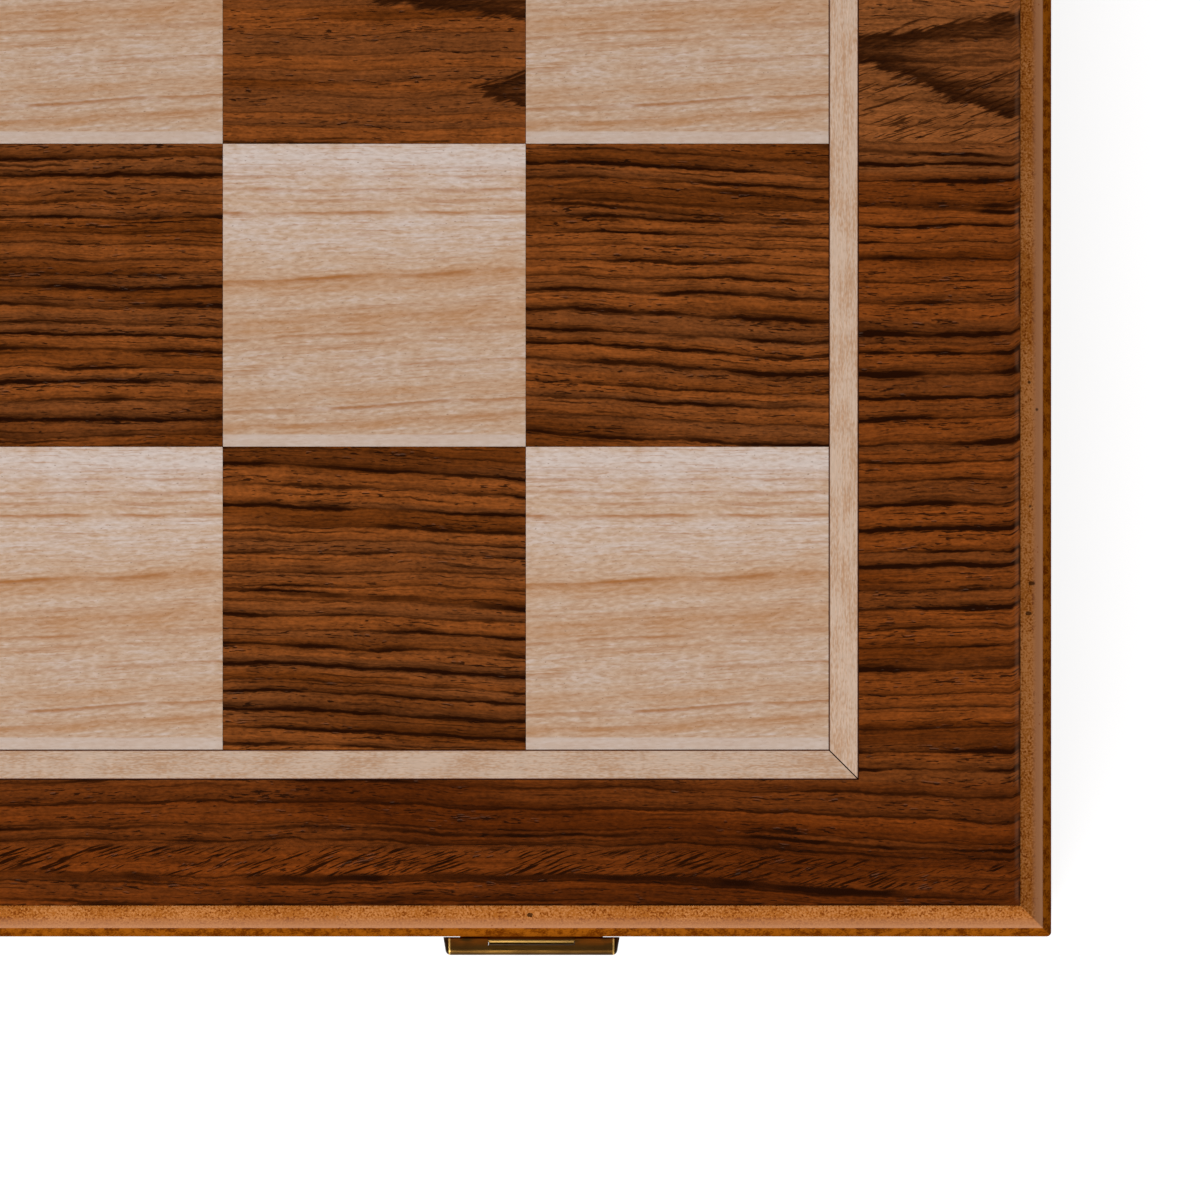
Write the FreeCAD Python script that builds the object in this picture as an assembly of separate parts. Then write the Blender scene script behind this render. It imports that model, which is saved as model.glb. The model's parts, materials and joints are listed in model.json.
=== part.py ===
import FreeCAD
import Part
import math
import os

# A folding chess and backgammon board. Two shallow trays are hinged along one long side. Closed, they make a
# flat case with half of the chess board on each outer face. Open, they lie side by side, and their floors are
# the two halves of the backgammon field.
#
# Frame: +Z up, origin under the middle of the closed case, +X along the hinge line, -Y towards the latches.
# The lower tray lies on its chess face. All sizes are in millimetres.

# Chess face
SQUARE = 50.6
FILES = 8
RANKS_PER_LEAF = 4
LINE_WIDTH = 5.0  # pale stringing round the squares
SIDE_BORDER = 27.0  # dark veneer between stringing and moulding, at the two ends
FRONT_BORDER = 21.0  # the same along the latch side

# Panel and veneers
CORE = 5.0
VENEER = 0.6
VENEER_JOINT = 0.06  # hairline between neighbouring veneers
LINE_JOINT = 0.2  # glue line on each side of the stringing
PANEL_CLEARANCE = 0.1  # round the panel in its rebate

# Rails
LEAF_HEIGHT = 27.0
RAIL_WIDTH = 11.0
BEVEL_WIDTH = 3.75
BEVEL_DROP = 1.6
NOSING_WIDTH = 1.55
NOSING_DROP = 4.5
NOSING_BELLY = 0.3  # how far the nosing swells out of its chord
ARRIS = 0.5  # eased edges where the two trays meet
CORNER_R = 0.8  # upright corners of the case
PARTING_GAP = 0.2  # between the closed trays

# Backgammon field
POINTS_PER_END = 6
POINT_LENGTH = 190.0
POINT_GAP = 1.2  # field left between two points at the rail

# Butt hinges
HINGE_FROM_END = 90.0  # end of the case to the middle of a hinge
HINGE_LENGTH = 50.0
HINGE_LEAF_WIDTH = 8.2  # from the pin's axis
HINGE_SHEET = 1.2
HINGE_KNUCKLES = 5
HINGE_BARREL_R = 2.2
HINGE_PIN_R = 1.0
HINGE_AXIS_OUT = 0.2  # axis behind the back faces, which clear each other when the board lies open
HINGE_FIT = 0.1  # round a hinge leaf in its mortise
BARREL_CLEARANCE = 0.3  # round a barrel in the wood
KNUCKLE_GAP = 0.15
HINGE_SCREWS = 3
HINGE_SCREW_PITCH = 18.0
HINGE_SCREW_INSET = 4.7  # from the pin's axis

# Latches
LATCH_FROM_END = 87.0  # end of the case to the middle of a latch
HASP_AXIS_UP = 10.0  # above the parting plane
HASP_BARREL_R = 0.7
HASP_PIN_R = 0.35
HASP_SHEET = 0.9
HASP_WIDTH = 29.6  # over the flared rim
HASP_FLARE = 0.5  # by which each side leans in towards the front
HASP_PROUD = 3.3  # outside of the front sheet to the rail
HASP_DROP = 25.0  # pin's axis to the bottom edge
HASP_FILLET = 0.9
HASP_CHAMFER = 0.3  # rear edge of the roof, which turns past the rail
HASP_SET_DEG = 3.0  # turn from hanging straight to hooked under the nose
HASP_CLEARANCE = 0.15  # slot in the roof to the plate's barrel
RIM_CLEARANCE = 0.25  # rim to the rail, at the top
WALL_CLEARANCE = 0.1  # barrel to the rail
WINDOW_WIDTH = 15.0
WINDOW_HEIGHT = 5.0
WINDOW_FILLET = 0.6
HASP_BAR = 3.5  # metal below the window
PLATE_SHEET = 0.8
PLATE_CORNER = 2.0
PLATE_SIDE_CLEARANCE = 1.4  # plates to the inside of the hasp
PLATE_HEIGHT = 7.6
TAB_WIDTH = 14.2
TAB_CLEARANCE = 0.4  # plate below the hasp's knuckles
KEEPER_TOP = 1.2  # below the parting plane
KEEPER_FOOT = 2.0  # keeper below its nose
NOSE_HEIGHT = 3.6
NOSE_TIP_R = 0.45
NOSE_TIP_DEG = (270, 200, 130)  # where the rounding of the tip starts, passes and ends
NOSE_PLAY = 0.35  # between the nose and the hasp's bar
NOSE_SIDE_PLAY = 0.2  # between the nose and the sides of the window
NOSE_CLEARANCE = 0.25  # between the nose and the sheet of a hanging hasp
LATCH_SCREW_INSET = 3.4  # from the side edges of the plates
PLATE_SCREW_DOWN = 3.8  # below the plate's top edge
KEEPER_SCREW_DOWN = 3.4  # below the keeper's top edge

# Countersunk screws
SCREW_HEAD_R = 1.9
SCREW_HEAD = 0.8
SCREW_SHANK_R = 1.0
SCREW_LENGTH = 9.0
SCREW_POINT = 2.0
SCREW_TIP_R = 0.15
SCREW_FLATS = 10  # sides of the drawn screw, which is round
SLOT_WIDTH = 0.4
SLOT_DEPTH = 0.35
SCREW_FIT = 0.05

RUNNING = 0.05  # between a pin and its bore
PIN_INSET = 0.2  # latch pin's ends inside the rounded sides of the hasp

# Worked out from the sizes above
MOULDING = BEVEL_WIDTH + NOSING_WIDTH
REBATE = VENEER + CORE
FLOOR = REBATE + VENEER
BOARD_LENGTH = FILES * SQUARE
BOARD_DEPTH = RANKS_PER_LEAF * SQUARE
LEAF_LENGTH = BOARD_LENGTH + 2 * (LINE_WIDTH + SIDE_BORDER + MOULDING)
LEAF_DEPTH = BOARD_DEPTH + LINE_WIDTH + FRONT_BORDER + 2 * MOULDING
BOARD_BACK = LEAF_DEPTH / 2 - MOULDING
BOARD_FRONT = BOARD_BACK - BOARD_DEPTH
TRAY_LENGTH = LEAF_LENGTH - 2 * RAIL_WIDTH
TRAY_DEPTH = LEAF_DEPTH - 2 * RAIL_WIDTH
PARTING_Z = LEAF_HEIGHT + PARTING_GAP / 2
HINGE_Y = LEAF_DEPTH / 2 + HINGE_AXIS_OUT
HINGE_X = LEAF_LENGTH / 2 - HINGE_FROM_END
FRONT_Y = -LEAF_DEPTH / 2
LATCH_X = LEAF_LENGTH / 2 - LATCH_FROM_END
HASP_AXIS_OUT = HASP_BARREL_R + WALL_CLEARANCE
HASP_Y = FRONT_Y - HASP_AXIS_OUT
HASP_Z = PARTING_Z + HASP_AXIS_UP
HASP_FRONT = HASP_PROUD - HASP_AXIS_OUT
HASP_INSIDE = HASP_FRONT - HASP_SHEET  # pin's axis to the inside of the front sheet
HASP_TOP = HASP_BARREL_R  # roof above the pin's axis
HASP_RIM = HASP_AXIS_OUT - RIM_CLEARANCE  # rim behind the pin's axis
WINDOW_BOTTOM = HASP_BAR - HASP_DROP
PLATE_WIDTH = HASP_WIDTH - 2 * (HASP_FLARE + HASP_SHEET + PLATE_SIDE_CLEARANCE)
PLATE_TOP = -HASP_BARREL_R - TAB_CLEARANCE
NOSE_WIDTH = WINDOW_WIDTH - 2 * NOSE_SIDE_PLAY
NOSE_UNDER = WINDOW_BOTTOM + NOSE_PLAY
KEEPER_EDGE = -HASP_AXIS_UP - KEEPER_TOP

X_AXIS = FreeCAD.Vector(1, 0, 0)
Y_AXIS = FreeCAD.Vector(0, 1, 0)
Z_AXIS = FreeCAD.Vector(0, 0, 1)

SIDES = {"left": -1, "right": 1}


# Plain shapes


def box(low, high):
    """A block between two opposite corners."""
    size = [h - l for l, h in zip(low, high)]
    return Part.makeBox(*size, FreeCAD.Vector(*low))


def face_in_plan(points):
    """A flat face at z 0 through the given (x, y) corners."""
    corners = [FreeCAD.Vector(x, y, 0) for x, y in points]
    return Part.Face(Part.makePolygon(corners + corners[:1]))


def plate(face, bottom, top):
    """A flat face at z 0, made into a slab from bottom to top."""
    slab = face.extrude(Z_AXIS * (top - bottom))
    slab.translate(Z_AXIS * bottom)
    return slab


def rectangle(x_low, x_high, y_low, y_high):
    """The four corners of a rectangle in plan."""
    return [(x_low, y_low), (x_high, y_low), (x_high, y_high), (x_low, y_high)]


def veneer(points, joint, bottom=0.0):
    """A veneer that leaves half a joint free along every edge of its nominal outline."""
    return plate(face_in_plan(points).makeOffset2D(-joint / 2, 2), bottom, bottom + VENEER)


def bar_along_x(radius, x_low, x_high, y=0.0, z=0.0):
    """A round bar parallel to X."""
    return Part.makeCylinder(radius, x_high - x_low, FreeCAD.Vector(x_low, y, z), X_AXIS)


def profile_along_x(edges, length):
    """A closed profile in the YZ plane, carried along X and centred on x 0."""
    solid = Part.Face(Part.Wire(edges)).extrude(X_AXIS * length)
    solid.translate(X_AXIS * (-length / 2))
    return solid


def segments(points):
    """Straight edges through (y, z) points in the YZ plane."""
    corners = [FreeCAD.Vector(0, y, z) for y, z in points]
    return [Part.LineSegment(a, b).toShape() for a, b in zip(corners, corners[1:])]


def arc(start, middle, end):
    """A round edge through three (y, z) points in the YZ plane."""
    return Part.Arc(*[FreeCAD.Vector(0, y, z) for y, z in (start, middle, end)]).toShape()


def is_along(edge, axis):
    """True if a straight edge runs along an axis."""
    ends = edge.Vertexes
    return len(ends) == 2 and (ends[1].Point - ends[0].Point).cross(axis).Length < 1e-6


def moved(shape, x=0.0, y=0.0, z=0.0):
    """A copy of a shape, shifted."""
    copy = shape.copy()
    copy.translate(FreeCAD.Vector(x, y, z))
    return copy


def turned_over(shape):
    """A copy turned half round about the Y axis at the parting plane: a lower piece becomes an upper one."""
    copy = shape.copy()
    copy.rotate(FreeCAD.Vector(0, 0, PARTING_Z), Y_AXIS, 180)
    return copy


# One tray, lying on its chess face with its hinge side towards +Y


def rail(length):
    """A moulded rail with mitred ends. Its outer face is at y 0, and it runs along X."""
    nosing_start = (0, BEVEL_DROP + NOSING_DROP)
    nosing_end = (NOSING_WIDTH, BEVEL_DROP)
    chord = math.hypot(NOSING_WIDTH, NOSING_DROP)
    swell = (
        (nosing_start[0] + nosing_end[0]) / 2 - NOSING_BELLY * NOSING_DROP / chord,
        (nosing_start[1] + nosing_end[1]) / 2 - NOSING_BELLY * NOSING_WIDTH / chord,
    )
    outline = [
        nosing_end,
        (MOULDING, 0),
        (MOULDING, REBATE),
        (RAIL_WIDTH, REBATE),
        (RAIL_WIDTH, LEAF_HEIGHT - ARRIS),
        (RAIL_WIDTH - ARRIS, LEAF_HEIGHT),
        (ARRIS, LEAF_HEIGHT),
        (0, LEAF_HEIGHT - ARRIS),
        nosing_start,
    ]
    stick = profile_along_x(segments(outline) + [arc(nosing_start, swell, nosing_end)], length)
    half = length / 2
    inner = half - RAIL_WIDTH
    mitred = [(-half, 0), (half, 0), (inner, RAIL_WIDTH), (-inner, RAIL_WIDTH)]
    return stick.common(plate(face_in_plan(mitred), 0, LEAF_HEIGHT))


def rails():
    """The four rails of a tray, by side."""
    long_rail = moved(rail(LEAF_LENGTH), y=-LEAF_DEPTH / 2)
    short_rail = moved(rail(LEAF_DEPTH), y=-LEAF_LENGTH / 2)
    block = box((-LEAF_LENGTH / 2, -LEAF_DEPTH / 2, 0), (LEAF_LENGTH / 2, LEAF_DEPTH / 2, LEAF_HEIGHT))
    block = block.makeFillet(CORNER_R, [e for e in block.Edges if is_along(e, Z_AXIS)])
    made = {}
    for quarter, side in enumerate(("front", "right", "back", "left")):
        stick = (long_rail if quarter % 2 == 0 else short_rail).copy()
        stick.rotate(FreeCAD.Vector(), Z_AXIS, 90 * quarter)
        made[side] = stick.common(block)
    return made


def panel():
    """The core board that lies in the rebates of the rails."""
    x = LEAF_LENGTH / 2 - MOULDING - PANEL_CLEARANCE
    y = LEAF_DEPTH / 2 - MOULDING - PANEL_CLEARANCE
    return box((-x, -y, VENEER), (x, y, REBATE))


def squares(pale):
    """The pale or the dark squares of half a chess board. The player's right-hand corner is pale."""
    made = []
    for file in range(FILES):
        for rank in range(RANKS_PER_LEAF):
            if ((file + rank) % 2 == 0) != pale:
                continue
            x = file * SQUARE - BOARD_LENGTH / 2
            y = BOARD_FRONT + rank * SQUARE
            made.append(veneer(rectangle(x, x + SQUARE, y, y + SQUARE), VENEER_JOINT))
    return Part.makeCompound(made)


def lines():
    """The pale stringing on three sides of the squares, mitred at the two front corners."""
    inner = BOARD_LENGTH / 2
    outer = inner + LINE_WIDTH
    low = BOARD_FRONT - LINE_WIDTH
    front = [(-outer, low), (outer, low), (inner, BOARD_FRONT), (-inner, BOARD_FRONT)]
    right = [(inner, BOARD_FRONT), (outer, low), (outer, BOARD_BACK), (inner, BOARD_BACK)]
    left = [(-x, y) for x, y in reversed(right)]
    outlines = {"front": front, "right": right, "left": left}
    return {side: veneer(outline, LINE_JOINT) for side, outline in outlines.items()}


def border():
    """The dark veneer outside the stringing: one sheet on three sides."""
    inner = BOARD_LENGTH / 2 + LINE_WIDTH
    outer = inner + SIDE_BORDER
    low = BOARD_FRONT - LINE_WIDTH
    edge = low - FRONT_BORDER
    ends = [(outer, edge), (outer, BOARD_BACK), (inner, BOARD_BACK), (inner, low)]
    mirrored = [(-x, y) for x, y in reversed(ends)]
    return veneer(ends + mirrored, VENEER_JOINT)


def point_outlines(pale):
    """The nominal triangles of the pale or the dark points, six at each end of a tray, facing inwards."""
    pitch = TRAY_DEPTH / POINTS_PER_END
    made = []
    for end in SIDES.values():
        base = end * TRAY_LENGTH / 2
        for place in range(POINTS_PER_END):
            if (place % 2 == 0) != (pale == (end > 0)):
                continue
            y = (place + 0.5) * pitch - TRAY_DEPTH / 2
            half = (pitch - POINT_GAP) / 2
            corners = [(base, -half), (base - end * POINT_LENGTH, 0), (base, half)]
            made.append([(x, y + across) for x, across in corners])
    return made


def points(pale):
    """The pale or the dark points, as inlaid veneers on the tray's floor."""
    return Part.makeCompound([veneer(p, VENEER_JOINT, REBATE) for p in point_outlines(pale)])


def field():
    """The ground veneer of the tray's floor, cut out round every point."""
    x = TRAY_LENGTH / 2
    y = TRAY_DEPTH / 2
    ground = veneer(rectangle(-x, x, -y, y), VENEER_JOINT, REBATE)
    cuts = [plate(face_in_plan(p), REBATE, FLOOR) for pale in (True, False) for p in point_outlines(pale)]
    return ground.cut(cuts)


def leaf():
    """Every wooden piece of one tray, by name."""
    pieces = {f"{side}_rail": stick for side, stick in rails().items()}
    pieces["panel"] = panel()
    pieces["pale_squares"] = squares(True)
    pieces["dark_squares"] = squares(False)
    pieces["border"] = border()
    pieces.update({f"{side}_line": strip for side, strip in lines().items()})
    pieces["field"] = field()
    pieces["pale_points"] = points(True)
    pieces["dark_points"] = points(False)
    return pieces


# Screws, each in its own frame: the top of its head at the origin and its point towards -Z


def many_sided(sections):
    """A slim turned piece with flat sides, through rings of (radius, z) given from the bottom up."""
    turns = [2 * math.pi * n / SCREW_FLATS for n in range(SCREW_FLATS)]
    rings = [[FreeCAD.Vector(r * math.cos(a), r * math.sin(a), z) for a in turns] for r, z in sections]
    outlines = [list(reversed(rings[0])), rings[-1]]
    for low, high in zip(rings, rings[1:]):
        for n in range(SCREW_FLATS):
            outlines.append([low[n - 1], low[n], high[n], high[n - 1]])
    return Part.Solid(Part.Shell([Part.Face(Part.makePolygon(o + o[:1])) for o in outlines]))


def screw():
    """A slotted countersunk wood screw."""
    body = many_sided(
        [
            (SCREW_TIP_R, -SCREW_LENGTH),
            (SCREW_SHANK_R, SCREW_POINT - SCREW_LENGTH),
            (SCREW_SHANK_R, -SCREW_HEAD),
            (SCREW_HEAD_R, 0),
        ]
    )
    slot = box((-SCREW_HEAD_R, -SLOT_WIDTH / 2, -SLOT_DEPTH), (SCREW_HEAD_R, SLOT_WIDTH / 2, SLOT_DEPTH))
    return body.cut(slot)


def screw_seat():
    """The countersink and pilot hole that a screw needs."""
    lean = (SCREW_HEAD_R - SCREW_SHANK_R) / SCREW_HEAD
    pilot_r = SCREW_SHANK_R + SCREW_FIT
    mouth_r = SCREW_HEAD_R + SCREW_FIT + SCREW_FIT * lean
    return many_sided([(pilot_r, -SCREW_LENGTH - SCREW_FIT), (pilot_r, -SCREW_HEAD), (mouth_r, SCREW_FIT)])


def hinge_screw_places():
    """Where the screws of both lower hinge leaves go, as a placement for each."""
    middle = (HINGE_SCREWS - 1) / 2
    across = [(n - middle) * HINGE_SCREW_PITCH for n in range(HINGE_SCREWS)]
    return [
        FreeCAD.Placement(
            FreeCAD.Vector(side * HINGE_X + x, HINGE_Y - HINGE_SCREW_INSET, LEAF_HEIGHT), FreeCAD.Rotation()
        )
        for side in SIDES.values()
        for x in across
    ]


def latch_screw_places(z):
    """Where a row of latch screws goes on the front of the case, with the heads facing -Y."""
    facing_front = FreeCAD.Rotation(X_AXIS, 90)
    return [
        FreeCAD.Placement(
            FreeCAD.Vector(side * LATCH_X + x, FRONT_Y - PLATE_SHEET, z), facing_front
        )
        for side in SIDES.values()
        for x in (LATCH_SCREW_INSET - PLATE_WIDTH / 2, PLATE_WIDTH / 2 - LATCH_SCREW_INSET)
    ]


def at_places(shape, places):
    """Copies of a shape, one at each placement."""
    copies = []
    for place in places:
        copy = shape.copy()
        copy.Placement = place
        copies.append(copy)
    return copies


# Butt hinges


def knuckle_spans(own):
    """The stretches of the barrel that one hinge leaf holds: the odd ones below, the even ones above."""
    length = HINGE_LENGTH / HINGE_KNUCKLES
    starts = [n * length - HINGE_LENGTH / 2 for n in range(HINGE_KNUCKLES)]
    return [(start, start + length) for n, start in enumerate(starts) if (n % 2 == 0) == own]


def hinge_leaf(own):
    """A lower hinge leaf at x 0, with the odd knuckles if own is true and the even ones if not."""
    half = HINGE_LENGTH / 2
    leaf_back = HINGE_Y - HINGE_LEAF_WIDTH
    sheet = box((-half, leaf_back, LEAF_HEIGHT - HINGE_SHEET), (half, HINGE_Y, LEAF_HEIGHT))
    barrels = [bar_along_x(HINGE_BARREL_R, a, b, HINGE_Y, PARTING_Z) for a, b in knuckle_spans(own)]
    gaps = [
        bar_along_x(HINGE_BARREL_R + KNUCKLE_GAP, a - KNUCKLE_GAP, b + KNUCKLE_GAP, HINGE_Y, PARTING_Z)
        for a, b in knuckle_spans(not own)
    ]
    bore = bar_along_x(HINGE_PIN_R + RUNNING, -HINGE_LENGTH, HINGE_LENGTH, HINGE_Y, PARTING_Z)
    return sheet.fuse(barrels).cut(gaps + [bore]).removeSplitter()


def hinge_pin():
    """The pin of a hinge at x 0, cut off flush with the barrel."""
    return bar_along_x(HINGE_PIN_R, -HINGE_LENGTH / 2, HINGE_LENGTH / 2, HINGE_Y, PARTING_Z)


def hinge_mortise():
    """The room for a hinge at x 0 in a lower back rail: a pocket for its leaf and a groove for its barrel."""
    half = HINGE_LENGTH / 2 + HINGE_FIT
    pocket = box(
        (-half, HINGE_Y - HINGE_LEAF_WIDTH - HINGE_FIT, LEAF_HEIGHT - HINGE_SHEET),
        (half, HINGE_Y, PARTING_Z),
    )
    end = HINGE_LENGTH / 2 + BARREL_CLEARANCE
    groove = bar_along_x(HINGE_BARREL_R + BARREL_CLEARANCE, -end, end, HINGE_Y, PARTING_Z)
    return pocket.fuse(groove)


# Latches, each in its own frame: the pin's axis along X through the origin, and the front towards -Y


def latch_plate():
    """The plate on the upper rail, with the middle knuckle rolled round the pin."""
    wall = HASP_AXIS_OUT
    outer = wall - PLATE_SHEET
    half = PLATE_WIDTH / 2
    body = box((-half, outer, PLATE_TOP - PLATE_HEIGHT), (half, wall, PLATE_TOP))
    corners = [e for e in body.Edges if is_along(e, Y_AXIS)]
    lower_corners = [e for e in corners if e.CenterOfMass.z < PLATE_TOP - PLATE_CORNER]
    body = body.makeFillet(PLATE_CORNER, lower_corners)
    tab = box((-TAB_WIDTH / 2, outer, PLATE_TOP - PLATE_SHEET), (TAB_WIDTH / 2, wall, 0))
    barrel = bar_along_x(HASP_BARREL_R, -TAB_WIDTH / 2, TAB_WIDTH / 2)
    bore = bar_along_x(HASP_PIN_R + RUNNING, -TAB_WIDTH, TAB_WIDTH)
    return body.fuse([tab, barrel]).cut(bore).removeSplitter()


def hasp_plan(front, shrink):
    """The hasp's outline in plan: sides that lean in from the rim to the front."""
    lean = HASP_FLARE / (HASP_FRONT + HASP_RIM)
    rear_half = HASP_WIDTH / 2 - shrink
    front_half = rear_half - lean * (front + HASP_RIM)
    return [(-rear_half, HASP_RIM), (-front_half, -front), (front_half, -front), (rear_half, HASP_RIM)]


def hasp():
    """The pressed cap that hangs from the pin, with a roof over it and a window for the keeper's nose."""
    shell = plate(face_in_plan(hasp_plan(HASP_FRONT, 0)), -HASP_DROP, HASP_TOP)
    outline = [e for e in shell.Edges if math.isclose(e.CenterOfMass.y, -HASP_FRONT)]
    roof_sides = [e for e in shell.Edges if math.isclose(e.CenterOfMass.y, (HASP_RIM - HASP_FRONT) / 2)]
    roof_sides = [e for e in roof_sides if e.CenterOfMass.z > 0]
    shell = shell.makeFillet(HASP_FILLET, outline + roof_sides)
    roof = HASP_TOP - HASP_SHEET
    hollow = plate(face_in_plan(hasp_plan(HASP_INSIDE, HASP_SHEET)), HASP_SHEET - HASP_DROP, roof)
    slot_half = TAB_WIDTH / 2 + KNUCKLE_GAP
    slot = box((-slot_half, -HASP_BARREL_R - HASP_CLEARANCE, -HASP_DROP / 2), (slot_half, HASP_RIM, HASP_TOP))
    half = WINDOW_WIDTH / 2
    window = box((-half, -2 * HASP_FRONT, WINDOW_BOTTOM), (half, 0, WINDOW_BOTTOM + WINDOW_HEIGHT))
    window = window.makeFillet(WINDOW_FILLET, [e for e in window.Edges if is_along(e, Y_AXIS)])
    # The nose leaves the cap through a notch in its bottom flange when the case opens.
    notch = box((-half, -HASP_INSIDE, -HASP_DROP), (half, HASP_RIM, 0))
    # The rim leans away from the rail towards the bottom, and lies along the rail when the hasp is hooked.
    lean = math.tan(math.radians(HASP_SET_DEG))
    wedge = [
        (HASP_RIM - HASP_CHAMFER, HASP_TOP),
        (HASP_RIM, HASP_TOP),
        (HASP_RIM, -HASP_DROP),
        (HASP_RIM - lean * (HASP_TOP + HASP_DROP), -HASP_DROP),
        (HASP_RIM - lean * HASP_CHAMFER, HASP_TOP - HASP_CHAMFER),
    ]
    behind_rim = profile_along_x(segments(wedge + wedge[:1]), 2 * HASP_WIDTH)
    knuckles = []
    for side in SIDES.values():
        ends = sorted([side * slot_half, side * HASP_WIDTH / 2])
        knuckles.append(bar_along_x(HASP_BARREL_R, *ends))
        knuckles.append(box((ends[0], -HASP_INSIDE, -HASP_BARREL_R), (ends[1], 0, HASP_TOP)))
    bore = bar_along_x(HASP_PIN_R + RUNNING, -HASP_WIDTH, HASP_WIDTH)
    inside = [knuckle.common(shell) for knuckle in knuckles]
    cap = shell.cut([hollow, slot, notch, behind_rim, window]).fuse(inside)
    return cap.cut([bore, behind_rim]).removeSplitter()


def hasp_pin():
    """The pin through the hasp's sides and the plate's knuckle."""
    lean = HASP_FLARE / (HASP_FRONT + HASP_RIM)
    half = HASP_WIDTH / 2 - lean * (HASP_RIM + HASP_PIN_R) - PIN_INSET
    return bar_along_x(HASP_PIN_R, -half, half)


def keeper():
    """The plate on the lower rail, with the nose that the hasp's bar hooks under."""
    wall = HASP_AXIS_OUT
    outer = wall - PLATE_SHEET
    half = PLATE_WIDTH / 2
    body = box((-half, outer, NOSE_UNDER - KEEPER_FOOT), (half, wall, KEEPER_EDGE))
    body = body.makeFillet(PLATE_CORNER, [e for e in body.Edges if is_along(e, Y_AXIS)])
    tip_y = NOSE_CLEARANCE - HASP_INSIDE + NOSE_TIP_R
    tip_z = NOSE_UNDER + NOSE_TIP_R
    under, front, over = [
        (tip_y + NOSE_TIP_R * math.cos(a), tip_z + NOSE_TIP_R * math.sin(a))
        for a in map(math.radians, NOSE_TIP_DEG)
    ]
    nose_top = NOSE_UNDER + NOSE_HEIGHT
    outline = segments([over, (outer, nose_top), (wall, nose_top), (wall, NOSE_UNDER), under])
    nose = profile_along_x(outline + [arc(under, front, over)], NOSE_WIDTH)
    return body.fuse(nose).removeSplitter()


# The closed case


def build():
    """Every node of the closed case, by name."""
    nodes = {}
    wood = leaf()
    upper_wood = {name: turned_over(piece) for name, piece in wood.items()}
    hinge_seats = at_places(screw_seat(), hinge_screw_places())
    hinge_screws = at_places(screw(), hinge_screw_places())
    plate_places = latch_screw_places(HASP_Z + PLATE_TOP - PLATE_SCREW_DOWN)
    keeper_places = latch_screw_places(HASP_Z + KEEPER_EDGE - KEEPER_SCREW_DOWN)
    plate_seats = at_places(screw_seat(), plate_places)
    keeper_seats = at_places(screw_seat(), keeper_places)

    mortises = [moved(hinge_mortise(), x=side * HINGE_X) for side in SIDES.values()]
    back_rail = wood["back_rail"].cut(mortises + hinge_seats)
    wood["back_rail"] = back_rail
    upper_wood["back_rail"] = turned_over(back_rail)
    wood["front_rail"] = wood["front_rail"].cut(keeper_seats)
    upper_wood["front_rail"] = upper_wood["front_rail"].cut(plate_seats)
    nodes.update({f"lower_{name}": piece for name, piece in wood.items()})
    nodes.update({f"upper_{name}": piece for name, piece in upper_wood.items()})

    for name, side in SIDES.items():
        lower = moved(hinge_leaf(True), x=side * HINGE_X).cut(hinge_seats)
        upper = turned_over(moved(hinge_leaf(False), x=-side * HINGE_X).cut(hinge_seats))
        nodes[f"{name}_hinge_lower_leaf"] = lower
        nodes[f"{name}_hinge_upper_leaf"] = upper
        nodes[f"{name}_hinge_pin"] = moved(hinge_pin(), x=side * HINGE_X)
        place = {"x": side * LATCH_X, "y": HASP_Y, "z": HASP_Z}
        nodes[f"{name}_latch_plate"] = moved(latch_plate(), **place).cut(plate_seats)
        nodes[f"{name}_latch_hasp"] = moved(hasp(), **place)
        nodes[f"{name}_latch_pin"] = moved(hasp_pin(), **place)
        nodes[f"{name}_latch_keeper"] = moved(keeper(), **place).cut(keeper_seats)

    nodes["lower_hinge_screws"] = Part.makeCompound(hinge_screws)
    nodes["upper_hinge_screws"] = Part.makeCompound([turned_over(s) for s in hinge_screws])
    nodes["latch_plate_screws"] = Part.makeCompound(at_places(screw(), plate_places))
    nodes["keeper_screws"] = Part.makeCompound(at_places(screw(), keeper_places))
    return nodes


def main():
    os.makedirs("parts", exist_ok=True)
    for name, shape in build().items():
        solids = shape.Solids
        if not solids or not all(s.isValid() and s.Volume > 0 for s in solids):
            raise ValueError(f"{name} has no valid solid")
        whole = solids[0] if len(solids) == 1 else Part.makeCompound(solids)
        whole.exportStep(f"parts/{name}.step")
        print(f"{name}: {len(solids)} solids, {sum(s.Volume for s in solids):.1f} mm3")
    print(f"closed case {LEAF_LENGTH:.1f} x {LEAF_DEPTH:.1f} x {2 * PARTING_Z:.1f} mm")


main()
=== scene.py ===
"""Looks of a folding chess and backgammon board: veneers, mouldings, brass and stage round its frame."""

import json
import math

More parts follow.
